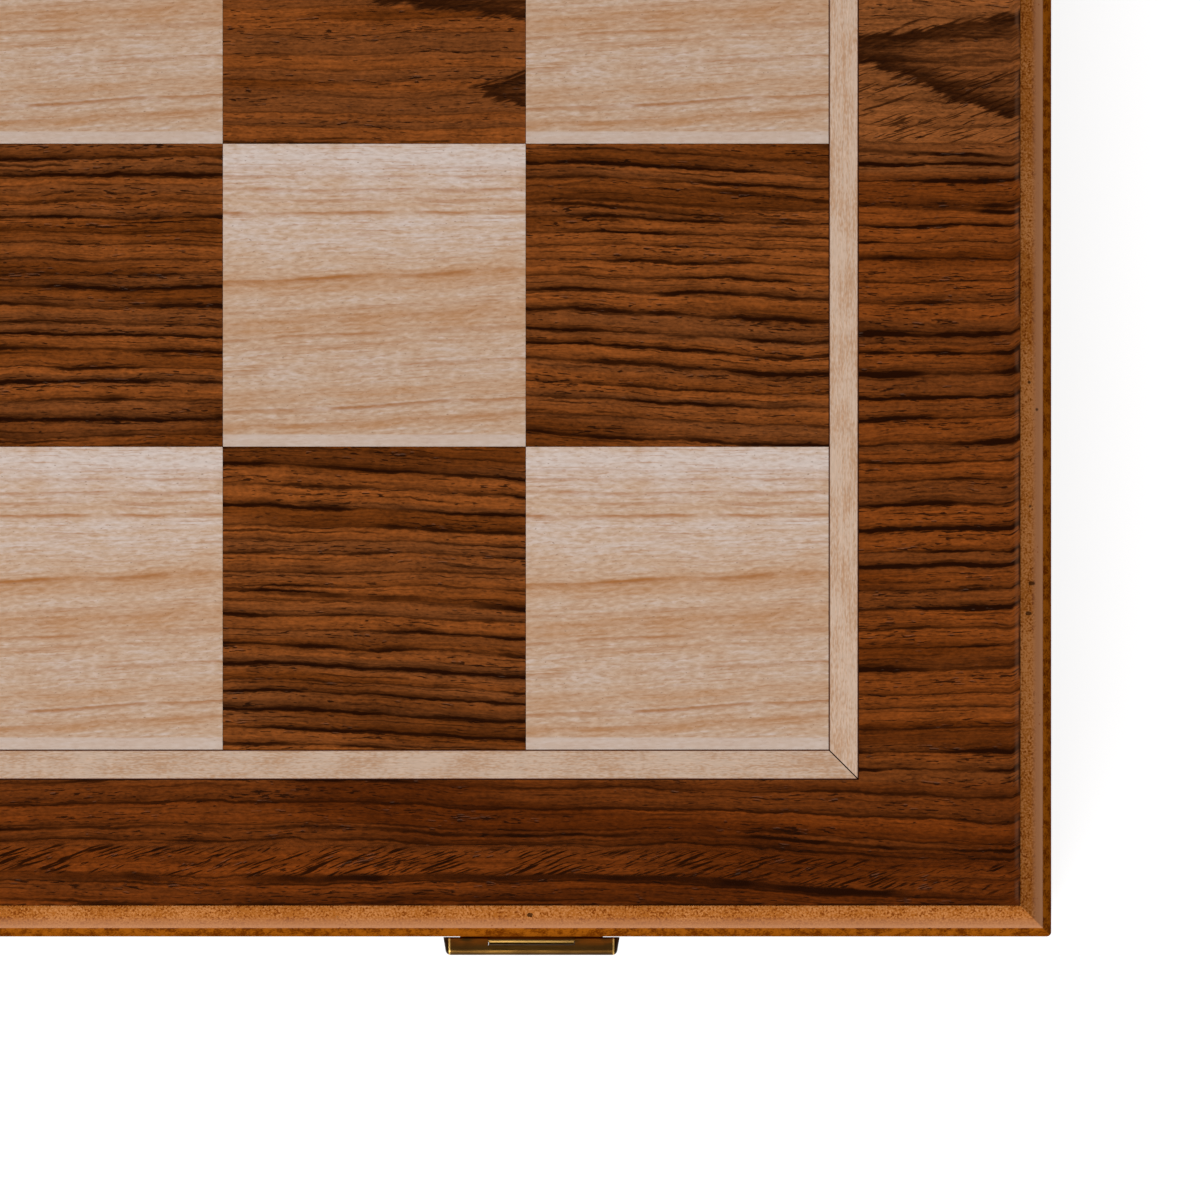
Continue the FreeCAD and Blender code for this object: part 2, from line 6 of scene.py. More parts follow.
import bpy
import numpy as np
from bpy.props import FloatProperty, FloatVectorProperty, PointerProperty
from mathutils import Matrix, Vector

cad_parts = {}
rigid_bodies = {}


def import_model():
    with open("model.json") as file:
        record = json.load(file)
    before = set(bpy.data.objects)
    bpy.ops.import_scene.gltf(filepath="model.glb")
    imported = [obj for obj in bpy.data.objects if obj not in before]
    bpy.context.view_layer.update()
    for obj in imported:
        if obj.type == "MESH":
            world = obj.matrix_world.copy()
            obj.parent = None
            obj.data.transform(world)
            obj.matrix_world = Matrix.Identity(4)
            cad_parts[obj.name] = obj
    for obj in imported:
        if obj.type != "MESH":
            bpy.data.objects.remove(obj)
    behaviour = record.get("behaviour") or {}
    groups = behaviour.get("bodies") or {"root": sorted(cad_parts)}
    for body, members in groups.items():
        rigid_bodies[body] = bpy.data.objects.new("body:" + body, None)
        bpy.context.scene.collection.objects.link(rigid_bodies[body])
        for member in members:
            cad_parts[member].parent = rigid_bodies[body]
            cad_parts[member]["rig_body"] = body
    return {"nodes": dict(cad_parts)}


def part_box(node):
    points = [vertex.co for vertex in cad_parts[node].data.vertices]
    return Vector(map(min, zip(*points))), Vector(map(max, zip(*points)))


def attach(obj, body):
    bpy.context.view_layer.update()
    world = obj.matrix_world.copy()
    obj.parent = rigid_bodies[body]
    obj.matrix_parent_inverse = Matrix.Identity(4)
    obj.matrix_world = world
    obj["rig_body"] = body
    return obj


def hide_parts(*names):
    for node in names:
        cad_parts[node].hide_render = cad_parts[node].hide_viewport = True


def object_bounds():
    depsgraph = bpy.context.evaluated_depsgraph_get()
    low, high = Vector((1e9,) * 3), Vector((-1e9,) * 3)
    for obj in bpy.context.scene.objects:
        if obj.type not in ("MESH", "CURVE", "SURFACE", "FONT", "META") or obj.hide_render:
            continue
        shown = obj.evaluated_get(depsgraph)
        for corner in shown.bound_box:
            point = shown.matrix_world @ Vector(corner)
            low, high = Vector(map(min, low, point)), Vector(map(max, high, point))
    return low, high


bl_info = {
    "name": "Folding games board",
    "version": (1, 0, 0),
    "blender": (4, 5, 0),
    "location": "View3D > Sidebar > Board",
    "description": "Finishes a folding chess and backgammon board and sets its stage",
    "category": "Object",
}

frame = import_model()
cad_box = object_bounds()

MM = 0.001


def span(node):
    """The lowest and highest corner of a CAD node, in millimetres."""
    low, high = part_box(node)
    return np.array(low) / MM, np.array(high) / MM


# Sizes of the closed case in millimetres, read from the frame
RAIL_LOW, RAIL_HIGH = span("lower_front_rail")
SIDE_HIGH = span("lower_right_rail")[1]
BORDER_LOW, BORDER_HIGH = span("lower_border")
SQUARES_LOW, SQUARES_HIGH = span("lower_pale_squares")
CASE_LENGTH = 2 * SIDE_HIGH[0]
CASE_DEPTH = -2 * RAIL_LOW[1]
LEAF_HEIGHT = RAIL_HIGH[2]
RAIL_WIDTH = RAIL_HIGH[1] - RAIL_LOW[1]
CASE_HEIGHT = cad_box[1].z / MM
PARTING = CASE_HEIGHT / 2
FILES = 8
VENEER_JOINT = 0.06
SQUARE = (SQUARES_HIGH[0] - SQUARES_LOW[0] + VENEER_JOINT) / FILES
BOARD_FRONT = SQUARES_LOW[1] - VENEER_JOINT / 2
STRING_FRONT = span("lower_front_line")[0][1]
STRING_SIDE = span("lower_right_line")[1][0]
VENEER_EDGE_X = BORDER_HIGH[0]
VENEER_EDGE_Y = BORDER_LOW[1]
MOULDING = CASE_LENGTH / 2 - VENEER_EDGE_X - VENEER_JOINT / 2
REBATE = span("lower_panel")[1][2]

LEAVES = ("lower", "upper")
SIDES = ("left", "right")


# Properties


def linear(red, green, blue):
    """A colour given as 0 to 255 display values, as the linear values that shaders take."""
    value = np.array([red, green, blue]) / 255
    return tuple(np.where(value <= 0.04045, value / 12.92, ((value + 0.055) / 1.055) ** 2.4).tolist())


def colour(name, description, red, green, blue):
    """A colour property."""
    default = linear(red, green, blue)
    return FloatVectorProperty(
        name=name, description=description, subtype="COLOR", size=3, min=0, max=1, default=default
    )


def length(name, description, millimetres):
    """A length property."""
    return FloatProperty(name=name, description=description, unit="LENGTH", default=millimetres * MM)


def share(name, description, default):
    """A property between 0 and 1."""
    return FloatProperty(
        name=name, description=description, subtype="FACTOR", min=0, max=1, default=default
    )


class DarkVeneerLooks(bpy.types.PropertyGroup):
    """Walnut of the dark squares and the borders"""

    warm: colour("Warm ground", "Orange brown of the ground", 127, 67, 25)
    grey: colour("Grey ground", "Greyer brown of the ground", 112, 61, 26)
    stain: colour("Border stain", "Tone that deepens the borders", 238, 226, 203)
    rosy: colour("Rosy ground", "Paler ground of the corner with slanted pores", 131, 76, 37)
    deep: colour("Deep ground", "Dark brown of the ground", 84, 38, 4)
    ring: colour("Ring lines", "Near black of the growth lines", 32, 9, 0)
    pore: colour("Pores", "Open pores", 24, 7, 1)
    # Glints are a painted highlight beside some pores.
    glint: colour("Glints", "Grey light in some pores", 130, 100, 82)
    heart: colour("Heartwood", "Dark rim of the heartwood flames", 44, 18, 3)
    worn_and_highlit: colour("Worn edge", "Greyer lacquer along the outer edge", 122, 88, 66)
    ring_pitch: length("Ring pitch", "Mean distance of the growth lines", 2.7)
    gloss: share("Roughness", "Roughness of the satin lacquer", 0.4)


class PaleVeneerLooks(bpy.types.PropertyGroup):
    """Ash of the pale squares"""

    cream: colour("Cream ground", "Main colour of the pale squares", 190, 160, 136)
    cool: colour("Cool ground", "Cooler, brighter early wood", 200, 184, 175)
    tan: colour("Tan ground", "Warmer late wood", 180, 136, 100)
    ring: colour("Ring lines", "Tan growth lines", 160, 104, 58)
    fleck: colour("Flecks", "Small dark flecks", 118, 82, 56)
    gloss: share("Roughness", "Roughness of the satin lacquer", 0.4)


class StringingLooks(bpy.types.PropertyGroup):
    """Maple of the stringing"""

    pale: colour("Pale", "Main colour of the stringing", 193, 167, 147)
    glue: colour("Glue lines", "Dark glue and stain along the edges", 84, 34, 16)
    tan: colour("Tan", "Fine tan specks and streaks", 176, 138, 108)
    gloss: share("Roughness", "Roughness of the satin lacquer", 0.4)


class MouldingLooks(bpy.types.PropertyGroup):
    """Stain and section of the rails"""

    stain: colour("Stain", "Main colour of the bevel", 163, 94, 34)
    pale: colour("Pale fibres", "Fibres of the bevel that took less stain", 190, 124, 70)
    dark: colour("Dark fibres", "Fibres of the bevel that took more stain", 122, 58, 13)
    # The worn and rubbed colours are a painted highlight: the bevel paler towards its rounded arris, and
    # palest on the arris itself.
    worn_and_highlit: colour("Worn arris", "Paler lacquer along the outer edge of the bevel", 174, 118, 80)
    rubbed_and_highlit: colour("Rubbed edge", "Palest line on the arris itself", 190, 136, 98)
    amber: colour("Amber", "Deeper stain below the bevel", 152, 82, 13)
    umber: colour("Umber", "Darker blotches below the bevel", 96, 41, 2)
    pit: colour("Pits", "Small open pits", 40, 18, 6)
    bevel_width: length("Bevel width", "Width of the sloping band beside the veneer", 3.75)
    bevel_drop: length("Bevel drop", "Fall of the sloping band", 1.6)
    nosing_drop: length("Nosing drop", "Height of the steep band outside the bevel", 4.5)
    nosing_belly: length("Nosing belly", "Swell of the steep band", 0.3)
    arris: length("Arris", "Rounding of the moulding's crisp edges", 0.25)
    easing: length("Easing", "Rounding of the edges where the trays meet", 0.7)
    corner: length("Corner", "Rounding of the case's upright corners", 0.8)
    gloss: share("Roughness", "Roughness of the satin lacquer", 0.45)


class TrayLooks(bpy.types.PropertyGroup):
    """Woods of the tray floors"""

    field: colour("Field", "Reddish ground of the tray floors", 142, 84, 42)
    field_dark: colour("Field streaks", "Darker streaks of the ground", 104, 54, 24)
    pale_point: colour("Pale points", "Maple points", 204, 172, 132)
    pale_point_dark: colour("Pale point streaks", "Streaks of the maple points", 176, 134, 92)
    dark_point: colour("Dark points", "Walnut points", 84, 46, 22)
    dark_point_dark: colour("Dark point streaks", "Streaks of the walnut points", 44, 20, 8)
    core: colour("Core", "Fibreboard core in the joints", 58, 30, 14)
    gloss: share("Roughness", "Roughness of the satin lacquer", 0.45)


class BrassLooks(bpy.types.PropertyGroup):
    """Brass of hinges, latches and screws"""

    antique: colour("Antique brass", "Brass of the latches", 91, 64, 26)
    # Amber paints a reflection: the orange of the wooden rail in the rear half of each hasp.
    amber: colour("Amber film", "Orange film on the rear half of the hasps", 122, 66, 16)
    # The edge colour is a painted highlight along the ends of the hasps.
    edge: colour("Rubbed edges", "Bare brass along the ends of the hasps", 214, 172, 96)
    # The sooty colour is painted shade on the hasps' leaning ends.
    flank_shade: colour("Sooty film", "Dark film on the ends of the hasps", 34, 20, 7)
    rubbed_and_highlit: colour("Rubbed brass", "Barer brass of the latch plates and their knuckles", 128, 98, 50)
    patina: colour("Patina", "Brown film on the antique brass", 58, 36, 12)
    bright: colour("Bright brass", "Brass of hinges and screws", 222, 186, 112)
    tarnish: colour("Tarnish", "Duller areas of the bright brass", 168, 126, 66)
    gloss: share("Roughness", "Roughness of the brushed brass", 0.3)


class StageLooks(bpy.types.PropertyGroup):
    """Floor, lights and camera"""

    floor: colour("Floor", "Pale studio floor", 156, 156, 156)
    lens: FloatProperty(
        name="Lens", description="Focal length of the camera, in millimetres", default=600.0
    )
    view_width: length("View width", "Width of the chess face that the camera sees", 200.4)
    view_x: length("View middle along", "Middle of the view along the hinge line", 164.2)
    view_y: length("View middle across", "Middle of the view across the hinge line", -63.2)
    key: FloatProperty(
        name="Key light", description="Power of the large soft light", default=40.0, unit="POWER"
    )
    fill: FloatProperty(
        name="Fill light", description="Power of the opposite soft light", default=10.0, unit="POWER"
    )
    ambient: share("Ambient", "Strength of the studio's own light on the object", 0.5)


class BoardLooks(bpy.types.PropertyGroup):
    """All looks of the board"""

    dark_veneer: PointerProperty(type=DarkVeneerLooks)
    pale_veneer: PointerProperty(type=PaleVeneerLooks)
    stringing: PointerProperty(type=StringingLooks)
    moulding: PointerProperty(type=MouldingLooks)
    tray: PointerProperty(type=TrayLooks)
    brass: PointerProperty(type=BrassLooks)
    stage: PointerProperty(type=StageLooks)


# Finishes


class Signal:
    """A number that varies over a surface. Its arithmetic adds Math nodes to its finish."""

    def __init__(self, finish, socket):
        self.finish = finish
        self.socket = socket

    def __add__(self, other):
        return self.finish.math("ADD", self, other)

    __radd__ = __add__

    def __mul__(self, other):
        return self.finish.math("MULTIPLY", self, other)

    __rmul__ = __mul__

    def __sub__(self, other):
        return self.finish.math("SUBTRACT", self, other)

    def __rsub__(self, other):
        return self.finish.math("SUBTRACT", other, self)

    def __truediv__(self, other):
        return self.finish.math("DIVIDE", self, other)


class Finish:
    """A material whose nodes are written as arithmetic on places in millimetres."""

    def __init__(self, name):
        self.material = bpy.data.materials.new(name)
        self.material.use_nodes = True
        self.tree = self.material.node_tree
        self.shader = self.tree.nodes["Principled BSDF"]

    def node(self, kind, **settings):
        """A new node with the given settings."""
        made = self.tree.nodes.new(kind)
        for key, value in settings.items():
            setattr(made, key, value)
        return made

    def plug(self, socket, value):
        """Links a signal to a socket, or sets the socket to a constant."""
        if isinstance(value, Signal):
            self.tree.links.new(value.socket, socket)
        elif socket.type == "RGBA":
            socket.default_value = (*value, 1.0)
        else:
            socket.default_value = value

    def math(self, operation, *values):
        """One Math node."""
        made = self.node("ShaderNodeMath", operation=operation)
        for socket, value in zip(made.inputs, values):
            self.plug(socket, value)
        return Signal(self, made.outputs[0])

    def place(self):
        """The three coordinates of the surface in millimetres."""
        here = self.node("ShaderNodeTexCoord").outputs["Object"]
        scaled = self.node("ShaderNodeVectorMath", operation="SCALE")
        scaled.inputs["Scale"].default_value = 1 / MM
        self.tree.links.new(here, scaled.inputs[0])
        split = self.node("ShaderNodeSeparateXYZ")
        self.tree.links.new(scaled.outputs[0], split.inputs[0])
        return [Signal(self, socket) for socket in split.outputs]

    def vector(self, x, y, z):
        """Three numbers as one vector."""
        made = self.node("ShaderNodeCombineXYZ")
        for socket, value in zip(made.inputs, (x, y, z)):
            self.plug(socket, value)
        return Signal(self, made.outputs[0])

    def noise(self, x, y, z=0.0, detail=1.0):
        """Cloudy noise about 0, mostly between -0.6 and 0.6."""
        made = self.node("ShaderNodeTexNoise", normalize=False)
        self.plug(made.inputs["Vector"], self.vector(x, y, z))
        made.inputs["Scale"].default_value = 1.0
        made.inputs["Detail"].default_value = detail
        return Signal(self, made.outputs["Fac"])

    def cells(self, x, y, z=0.0):
        """Distance to the nearest of scattered points, about one in each unit cube."""
        made = self.node("ShaderNodeTexVoronoi")
        self.plug(made.inputs["Vector"], self.vector(x, y, z))
        made.inputs["Scale"].default_value = 1.0
        return Signal(self, made.outputs["Distance"])

    def chance(self, number):
        """A random value from 0 to 1 for each whole number."""
        made = self.node("ShaderNodeTexWhiteNoise", noise_dimensions="1D")
        self.plug(made.inputs["W"], number)
        return Signal(self, made.outputs["Value"])

    def rise(self, low, high, value):
        """A smooth step from 0 at low to 1 at high."""
        made = self.node("ShaderNodeMapRange", interpolation_type="SMOOTHSTEP")
        self.plug(made.inputs["Value"], value)
        self.plug(made.inputs["From Min"], low)
        self.plug(made.inputs["From Max"], high)
        return Signal(self, made.outputs["Result"])

    def fall(self, low, high, value):
        """A smooth step from 1 at low to 0 at high."""
        return 1 - self.rise(low, high, value)

    def mix(self, amount, start, end, blend="MIX"):
        """A colour between two colours, or with blend MULTIPLY a colour under a tone."""
        made = self.node("ShaderNodeMix", data_type="RGBA", blend_type=blend)
        colours = [s for s in made.inputs if s.type == "RGBA"]
        self.plug(made.inputs[0], amount)
        self.plug(colours[0], start)
        self.plug(colours[1], end)
        return Signal(self, next(s for s in made.outputs if s.type == "RGBA"))

    def brighten(self, tint, amount):
        """A colour multiplied by a number."""
        made = self.node("ShaderNodeVectorMath", operation="SCALE")
        self.plug(made.inputs[0], tint)
        self.plug(made.inputs["Scale"], amount)
        return Signal(self, made.outputs[0])

    def done(self, tint, roughness, height, **constants):
        """Connects colour, roughness and a height in millimetres to the shader. Returns the material."""
        self.plug(self.shader.inputs["Base Color"], tint)
        self.plug(self.shader.inputs["Roughness"], roughness)
        bump = self.node("ShaderNodeBump")
        bump.inputs["Distance"].default_value = MM
        self.plug(bump.inputs["Height"], height)
        self.tree.links.new(bump.outputs["Normal"], self.shader.inputs["Normal"])
        for name, value in constants.items():
            self.shader.inputs[name.replace("_", " ").title().replace("Ior", "IOR")].default_value = value
        return self.material


LACQUER = {"specular_ior_level": 0.02}
DULL_STAIN = {"specular_ior_level": 0.0}


def heart_flame(finish, x, y, tip, slope_up, slope_down, reach):
    """Heartwood that opens from a tip towards +X between two edges and fades out at its reach: its
    inside, and its dark rim."""
    run = x - tip[0]
    under_top = slope_up * run + tip[1] - y
    over_bottom = slope_down * run - tip[1] + y
    inside = finish.rise(-0.3, 0.8, under_top) * finish.rise(-0.3, 0.8, over_bottom)
    inside = inside * finish.fall(reach - 6, reach, run)
    rim = finish.fall(1.0, 5.2, finish.math("MINIMUM", under_top, over_bottom))
    return inside, inside * rim


def bold_line(finish, x, y, start, end, half_width):
    """A strong growth line between two (x, y) points, with ragged and fading ends."""
    slope = (end[1] - start[1]) / (end[0] - start[0])
    aside = finish.math("ABSOLUTE", y - start[1] - slope * (x - start[0]))
    within = finish.rise(start[0] - 4, start[0] + 4, x) * finish.fall(end[0] - 4, end[0] + 4, x)
    return within * finish.fall(0.2 * half_width, half_width, aside)


# Landmarks of the dark veneer in millimetres
HEART_FLAMES = (  # (x, y) of the tip, upward slope, downward slope, reach along the grain
    ((198.5, 30.7), 0.14, 0.35, 60.0),
    ((60.0, 46.0), 0.30, 0.16, 110.0),
    ((141.5, 20.4), 0.30, 0.36, 18.0),
)
BOLD_LINES = (  # (x, y) of both ends, half width
    ((98.0, -62.8), (156.0, -65.4), 1.0),
    ((150.0, 6.6), (240.0, 1.5), 0.7),
    ((150.0, 1.6), (215.0, -0.6), 0.55),
    ((200.0, 13.4), (240.0, 11.6), 0.6),
    ((60.0, -102.9), (240.0, -103.6), 0.5),
    ((60.0, -111.0), (215.0, -111.3), 1.1),
)
BORDER_SPREAD = 0.3  # the growth lines of the borders are wider apart by this share
FINE_PITCH = 1.1  # of the thin broken lines between the growth lines
DIP = 0.02  # growth lines fall towards +X by this slope
DIP_FROM = 164.0  # where they are at their own height
QUIET_FROM, QUIET_TO = 12.3, 58.0  # across the board: wood with few growth lines
FEATHER_LOW, FEATHER_HIGH = -111.6, -105.2  # across the board: feathered figure in the front border
SLANT_X, SLANT_LOW, SLANT_HIGH = 204.0, 12.6, 24.0  # the corner with slanted pores
SLANT = 0.36  # rise of the slanted pores and of the feathered figure
UNSTAINED_FROM = 7.6  # across the board: from here on the side borders are paler


def dark_veneer_finish(looks):
    """Walnut: wavy near black growth lines, a banded ground, pores along the grain, heartwood flames and a
    feathered figure. The borders have their lines wider apart under a deeper stain."""
    f = Finish("dark_veneer_satin")
    x, y, z = f.place()
    leaf = z / 40
    bend = 2.6 * f.noise(x / 110, y / 40, leaf)
    wave = 0.5 * f.noise(x / 13, y / 6, leaf)
    ragged = 0.17 * f.noise(x / 1.8, y / 0.8, leaf, detail=2)
    from_middle = f.math("ABSOLUTE", x)
    hook = 0.9 * f.rise(VENEER_EDGE_X - 1.8, VENEER_EDGE_X + 0.4, from_middle)
    smooth = y + bend + wave + DIP * (x - DIP_FROM) - hook
    across = smooth + ragged

    past_string = f.math("MAXIMUM", STRING_FRONT - y, from_middle - STRING_SIDE)
    border = f.rise(-1, 0, past_string)
    pitch = looks.ring_pitch / MM * (1 + BORDER_SPREAD * border)
    rings = across / pitch + 0.5 * f.noise(across / 7, 3.0, leaf)
    line = f.math("ROUND", rings)
    band = f.math("FLOOR", rings)
    aside = (rings - line) * pitch
    along = f.noise(x / 16, line * 5.7, leaf, detail=2)
    quiet = f.rise(QUIET_FROM - 1, QUIET_FROM + 1, across) * f.fall(QUIET_TO - 8, QUIET_TO, across)
    strength = 0.46 + 0.54 * f.rise(-0.45, 0.4, along + 0.9 * (f.chance(line) - 0.5))
    front = f.fall(STRING_FRONT - 1, STRING_FRONT, y)
    strength = strength * (1 + 0.2 * border - 0.8 * quiet - 0.45 * front)
    thread = f.noise(x / 4.5, across / 0.17, leaf, detail=2)
    width = 0.16 + 0.43 * strength * strength
    core = f.fall(width * 0.2, width, f.math("ABSOLUTE", aside) + 0.22 * thread)
    soft = f.fall(0, 1, f.math("MAXIMUM", aside / 1.6, aside / -0.5))
    ring = f.math("MAXIMUM", core * (0.4 + 0.6 * strength), soft * strength * (0.67 + 0.6 * thread))
    fine = across / FINE_PITCH + 0.9 * f.noise(across / 2.5, 9.0, leaf)
    fine_line = f.math("ROUND", fine)
    fine_core = f.fall(0.04, 0.16, f.math("ABSOLUTE", fine - fine_line) * FINE_PITCH + 0.08 * thread)
    fine_part = f.rise(-0.15, 0.4, f.noise(x / 8, fine_line * 3.1, leaf, detail=2))
    fine_part = fine_part * (1 - 0.6 * quiet - 0.3 * border)
    ring = f.math("MAXIMUM", ring, 0.75 * fine_core * fine_part)

    tone = f.noise(x / 150, across / 3.2, leaf) + 0.9 * (f.chance(band) - 0.5)
    depth = f.noise(x / 70, across / 8, leaf + 4) + 0.5 * (f.chance(band + 0.3) - 0.5)
    fibre = f.noise(x / 7, across / 0.3, leaf, detail=3)
    grit = f.noise(x / 0.8, across / 0.35, leaf, detail=2)
    sheen_ripple = f.noise(x / 5, y / 9, leaf)
    ground = f.mix(f.rise(-0.35, 0.35, tone), looks.warm, looks.grey)
    corner = f.rise(SLANT_X, SLANT_X + 1, x)
    unstained = corner * f.rise(UNSTAINED_FROM, UNSTAINED_FROM + 1, y)
    ground = f.mix(0.7 * f.rise(0, 0.5, depth) * (1 - unstained), ground, looks.deep)

    rosy = corner * f.rise(SLANT_LOW, SLANT_LOW + 1, y)
    slant = rosy * f.fall(SLANT_HIGH, 30, y)
    feather = f.rise(FEATHER_LOW, FEATHER_LOW + 1, across) * f.fall(FEATHER_HIGH - 1, FEATHER_HIGH, across)
    grain = smooth - SLANT * (slant + feather) * x
    cluster = f.noise(x / 24, grain / 1.6, leaf + 2)
    sparse = 0.52 - 0.42 * cluster - 0.13 * feather + 0.06 * slant
    pore = f.rise(sparse, sparse + 0.09, f.noise(x / 2.0, grain / 0.24, leaf))
    # The glints are a painted highlight beside some pores.
    glint = f.rise(sparse + 0.05, sparse + 0.2, f.noise(x / 2.0, (grain - 0.2) / 0.24, leaf))
    glint = glint * f.rise(0.2, 0.35, f.noise(x / 4, grain / 2, leaf + 7)) * (1 - pore)

    slanted = (y + wave - SLANT * x) / 0.42
    frayed = across + 0.7 * f.noise(x / 3, y / 2, leaf) + 1.1 * f.noise(x / 5, slanted, leaf + 6)
    flames = [heart_flame(f, x, frayed, *flame) for flame in HEART_FLAMES]
    inside, rim = flames[0]
    for more_inside, more_rim in flames[1:]:
        inside = f.math("MAXIMUM", inside, more_inside)
        rim = f.math("MAXIMUM", rim, more_rim)
    tint = f.mix(border * (1 - unstained), ground, looks.stain, blend="MULTIPLY")
    tint = f.mix(front, tint, looks.stain, blend="MULTIPLY")
    tint = f.mix(0.75 * rosy, tint, looks.rosy)
    tint = f.mix(0.7 * inside, tint, looks.grey)
    heart_streaks = f.rise(-0.1, 0.4, f.noise(x / 9, across / 0.5, leaf + 8))
    tint = f.mix(0.5 * inside * heart_streaks, tint, looks.heart)
    tint = f.mix(0.92 * rim, tint, looks.heart)
    # The ripple term is a faint painted sheen, lighter and darker across the grain.
    tint = f.brighten(tint, 1.01 + 0.42 * fibre + 0.36 * grit + 0.15 * sheen_ripple)
    streaks = f.noise(x / 6, slanted, leaf, detail=2)
    stroke = f.rise(0.1, 0.35, streaks) * f.rise(-0.35, 0.1, f.noise(x / 11, across / 2.5, leaf + 5))
    ring = f.math("MAXIMUM", ring * (1 - 0.6 * feather), 0.95 * feather * stroke)
    ring = f.math("MAXIMUM", ring, 0.8 * slant * f.rise(0.3, 0.44, streaks))
    for start, end, half_width in BOLD_LINES:
        ring = f.math("MAXIMUM", ring, (0.75 + along) * bold_line(f, x, across, start, end, half_width))
    tint = f.mix(ring, tint, looks.ring)
    tint = f.mix(0.85 * pore, tint, looks.pore)
    tint = f.mix(0.2 * glint, tint, looks.glint)
    outward = f.math("MAXIMUM", from_middle - VENEER_EDGE_X, VENEER_EDGE_Y - y)
    patchy = f.rise(-0.4, 0.2, f.noise(x / 5, y / 5, 3.0))
    tint = f.mix(0.2 * patchy * f.rise(-1.1, -0.6, from_middle - VENEER_EDGE_X), tint, looks.worn_and_highlit)
    # Painted shade: a dark broken line along the veneer's outer edges, in the gap to the rail.
    tint = f.mix(0.8 * patchy * f.rise(-0.4, -0.15, outward), tint, looks.ring)
    return f.done(tint, looks.gloss + 0.12 * pore - 0.08 * fibre, -0.008 * pore + 0.002 * fibre, **LACQUER)


# Growth of the pale veneer, by depth below a square's back edge in millimetres
PALE_BANDS = (  # depth, half width, tone: above 0 cool early wood, below 0 tan late wood
    (2.6, 5.0, 0.95),
    (7.5, 3.0, 0.3),
    (12.9, 1.6, 0.5),
    (16.0, 3.4, 0.4),
    (22.8, 3.0, -0.75),
    (29.8, 4.0, -0.65),
    (36.4, 3.4, 0.1),
    (41.8, 2.4, -0.4),
    (46.6, 1.8, -0.65),
)
PALE_LINES = (  # depth, half width, strength
    (3.9, 0.25, 0.3),
    (5.4, 0.25, 0.5),
    (7.6, 0.3, 0.6),
    (9.3, 0.25, 0.5),
    (11.4, 0.3, 0.8),
    (21.9, 0.4, 1.0),
    (27.2, 0.25, 0.3),
    (28.8, 0.3, 0.35),
    (31.5, 0.3, 0.6),
    (33.4, 0.25, 0.3),
    (37.0, 0.3, 0.35),
    (43.6, 0.3, 0.75),
    (46.2, 0.3, 0.4),
)


STRIP_FROM = 48.4  # depth at which a cool strip ends the square


def pale_veneer_finish(looks):
    """Ash: the same sheet on every square, with bands of cool early and tan late wood, growth lines that
    are level at the back and rise to the right in front, and a fine mottle."""
    f = Finish("pale_veneer_satin")
    x, y, _ = f.place()
    right = f.math("FLOORED_MODULO", x, SQUARE)
    depth = f.math("FLOORED_MODULO", BOARD_FRONT - y, SQUARE)
    tilt = 0.05 * f.rise(9, 22, depth) * (right - SQUARE / 2)
    wave = 0.35 * f.noise(right / 14, depth / 6)
    ragged = 0.12 * f.noise(right / 1.6, depth / 0.5)
    across = depth + tilt + wave + ragged
    strip = f.rise(STRIP_FROM, STRIP_FROM + 0.3, depth)
    streak = f.noise(right / 11, across / 0.6, 4.0, detail=2)
    mottle = f.noise(right / 1.5, across / 0.5, 1.0, detail=3)
    cloud = f.noise(right / 7, across / 2.5, 2.0, detail=2)
    tone = 0.4 * streak + 0.45 * mottle + 0.35 * cloud
    for place, half, strength in PALE_BANDS:
        tone = tone + strength * f.fall(0, half, f.math("ABSOLUTE", across - place))
    tint = f.mix(tone, looks.cream, looks.cool)
    tint = f.mix(-1 * tone, tint, looks.tan)
    along = f.noise(right / 9, across / 4, 5.0, detail=2)
    for place, half, strength in PALE_LINES:
        aside = across - place
        line = f.fall(0, 1, f.math("MAXIMUM", aside / (2.6 * half), aside / -half))
        tint = f.mix(strength * line * f.rise(-0.9, 0.4, along), tint, looks.ring)
    thin = f.rise(0.2, 0.45, f.noise(right / 14, across / 0.34, 6.0))
    tint = f.mix(0.36 * thin * f.rise(-0.3, 0.3, along), tint, looks.ring)
    dash = f.rise(0.3, 0.5, f.noise(right / 1.4, across / 0.35, 3.0))
    fleck = f.rise(0.66, 0.72, f.noise(right / 0.7, across / 0.25, 11.0))
    tint = f.brighten(tint, 1.05 - 0.07 * f.rise(0, SQUARE, depth) + 0.1 * mottle)
    tint = f.mix(0.25 * dash, tint, looks.ring)
    tint = f.mix(0.6 * fleck, tint, looks.fleck)
    tint = f.mix(0.5 * strip, tint, looks.cool)
    return f.done(tint, looks.gloss - 0.08 * mottle, 0.003 * mottle - 0.004 * dash, **LACQUER)


SIDE_SHEEN = 1.09  # painted sheen: the side strips are drawn brighter than the front strip


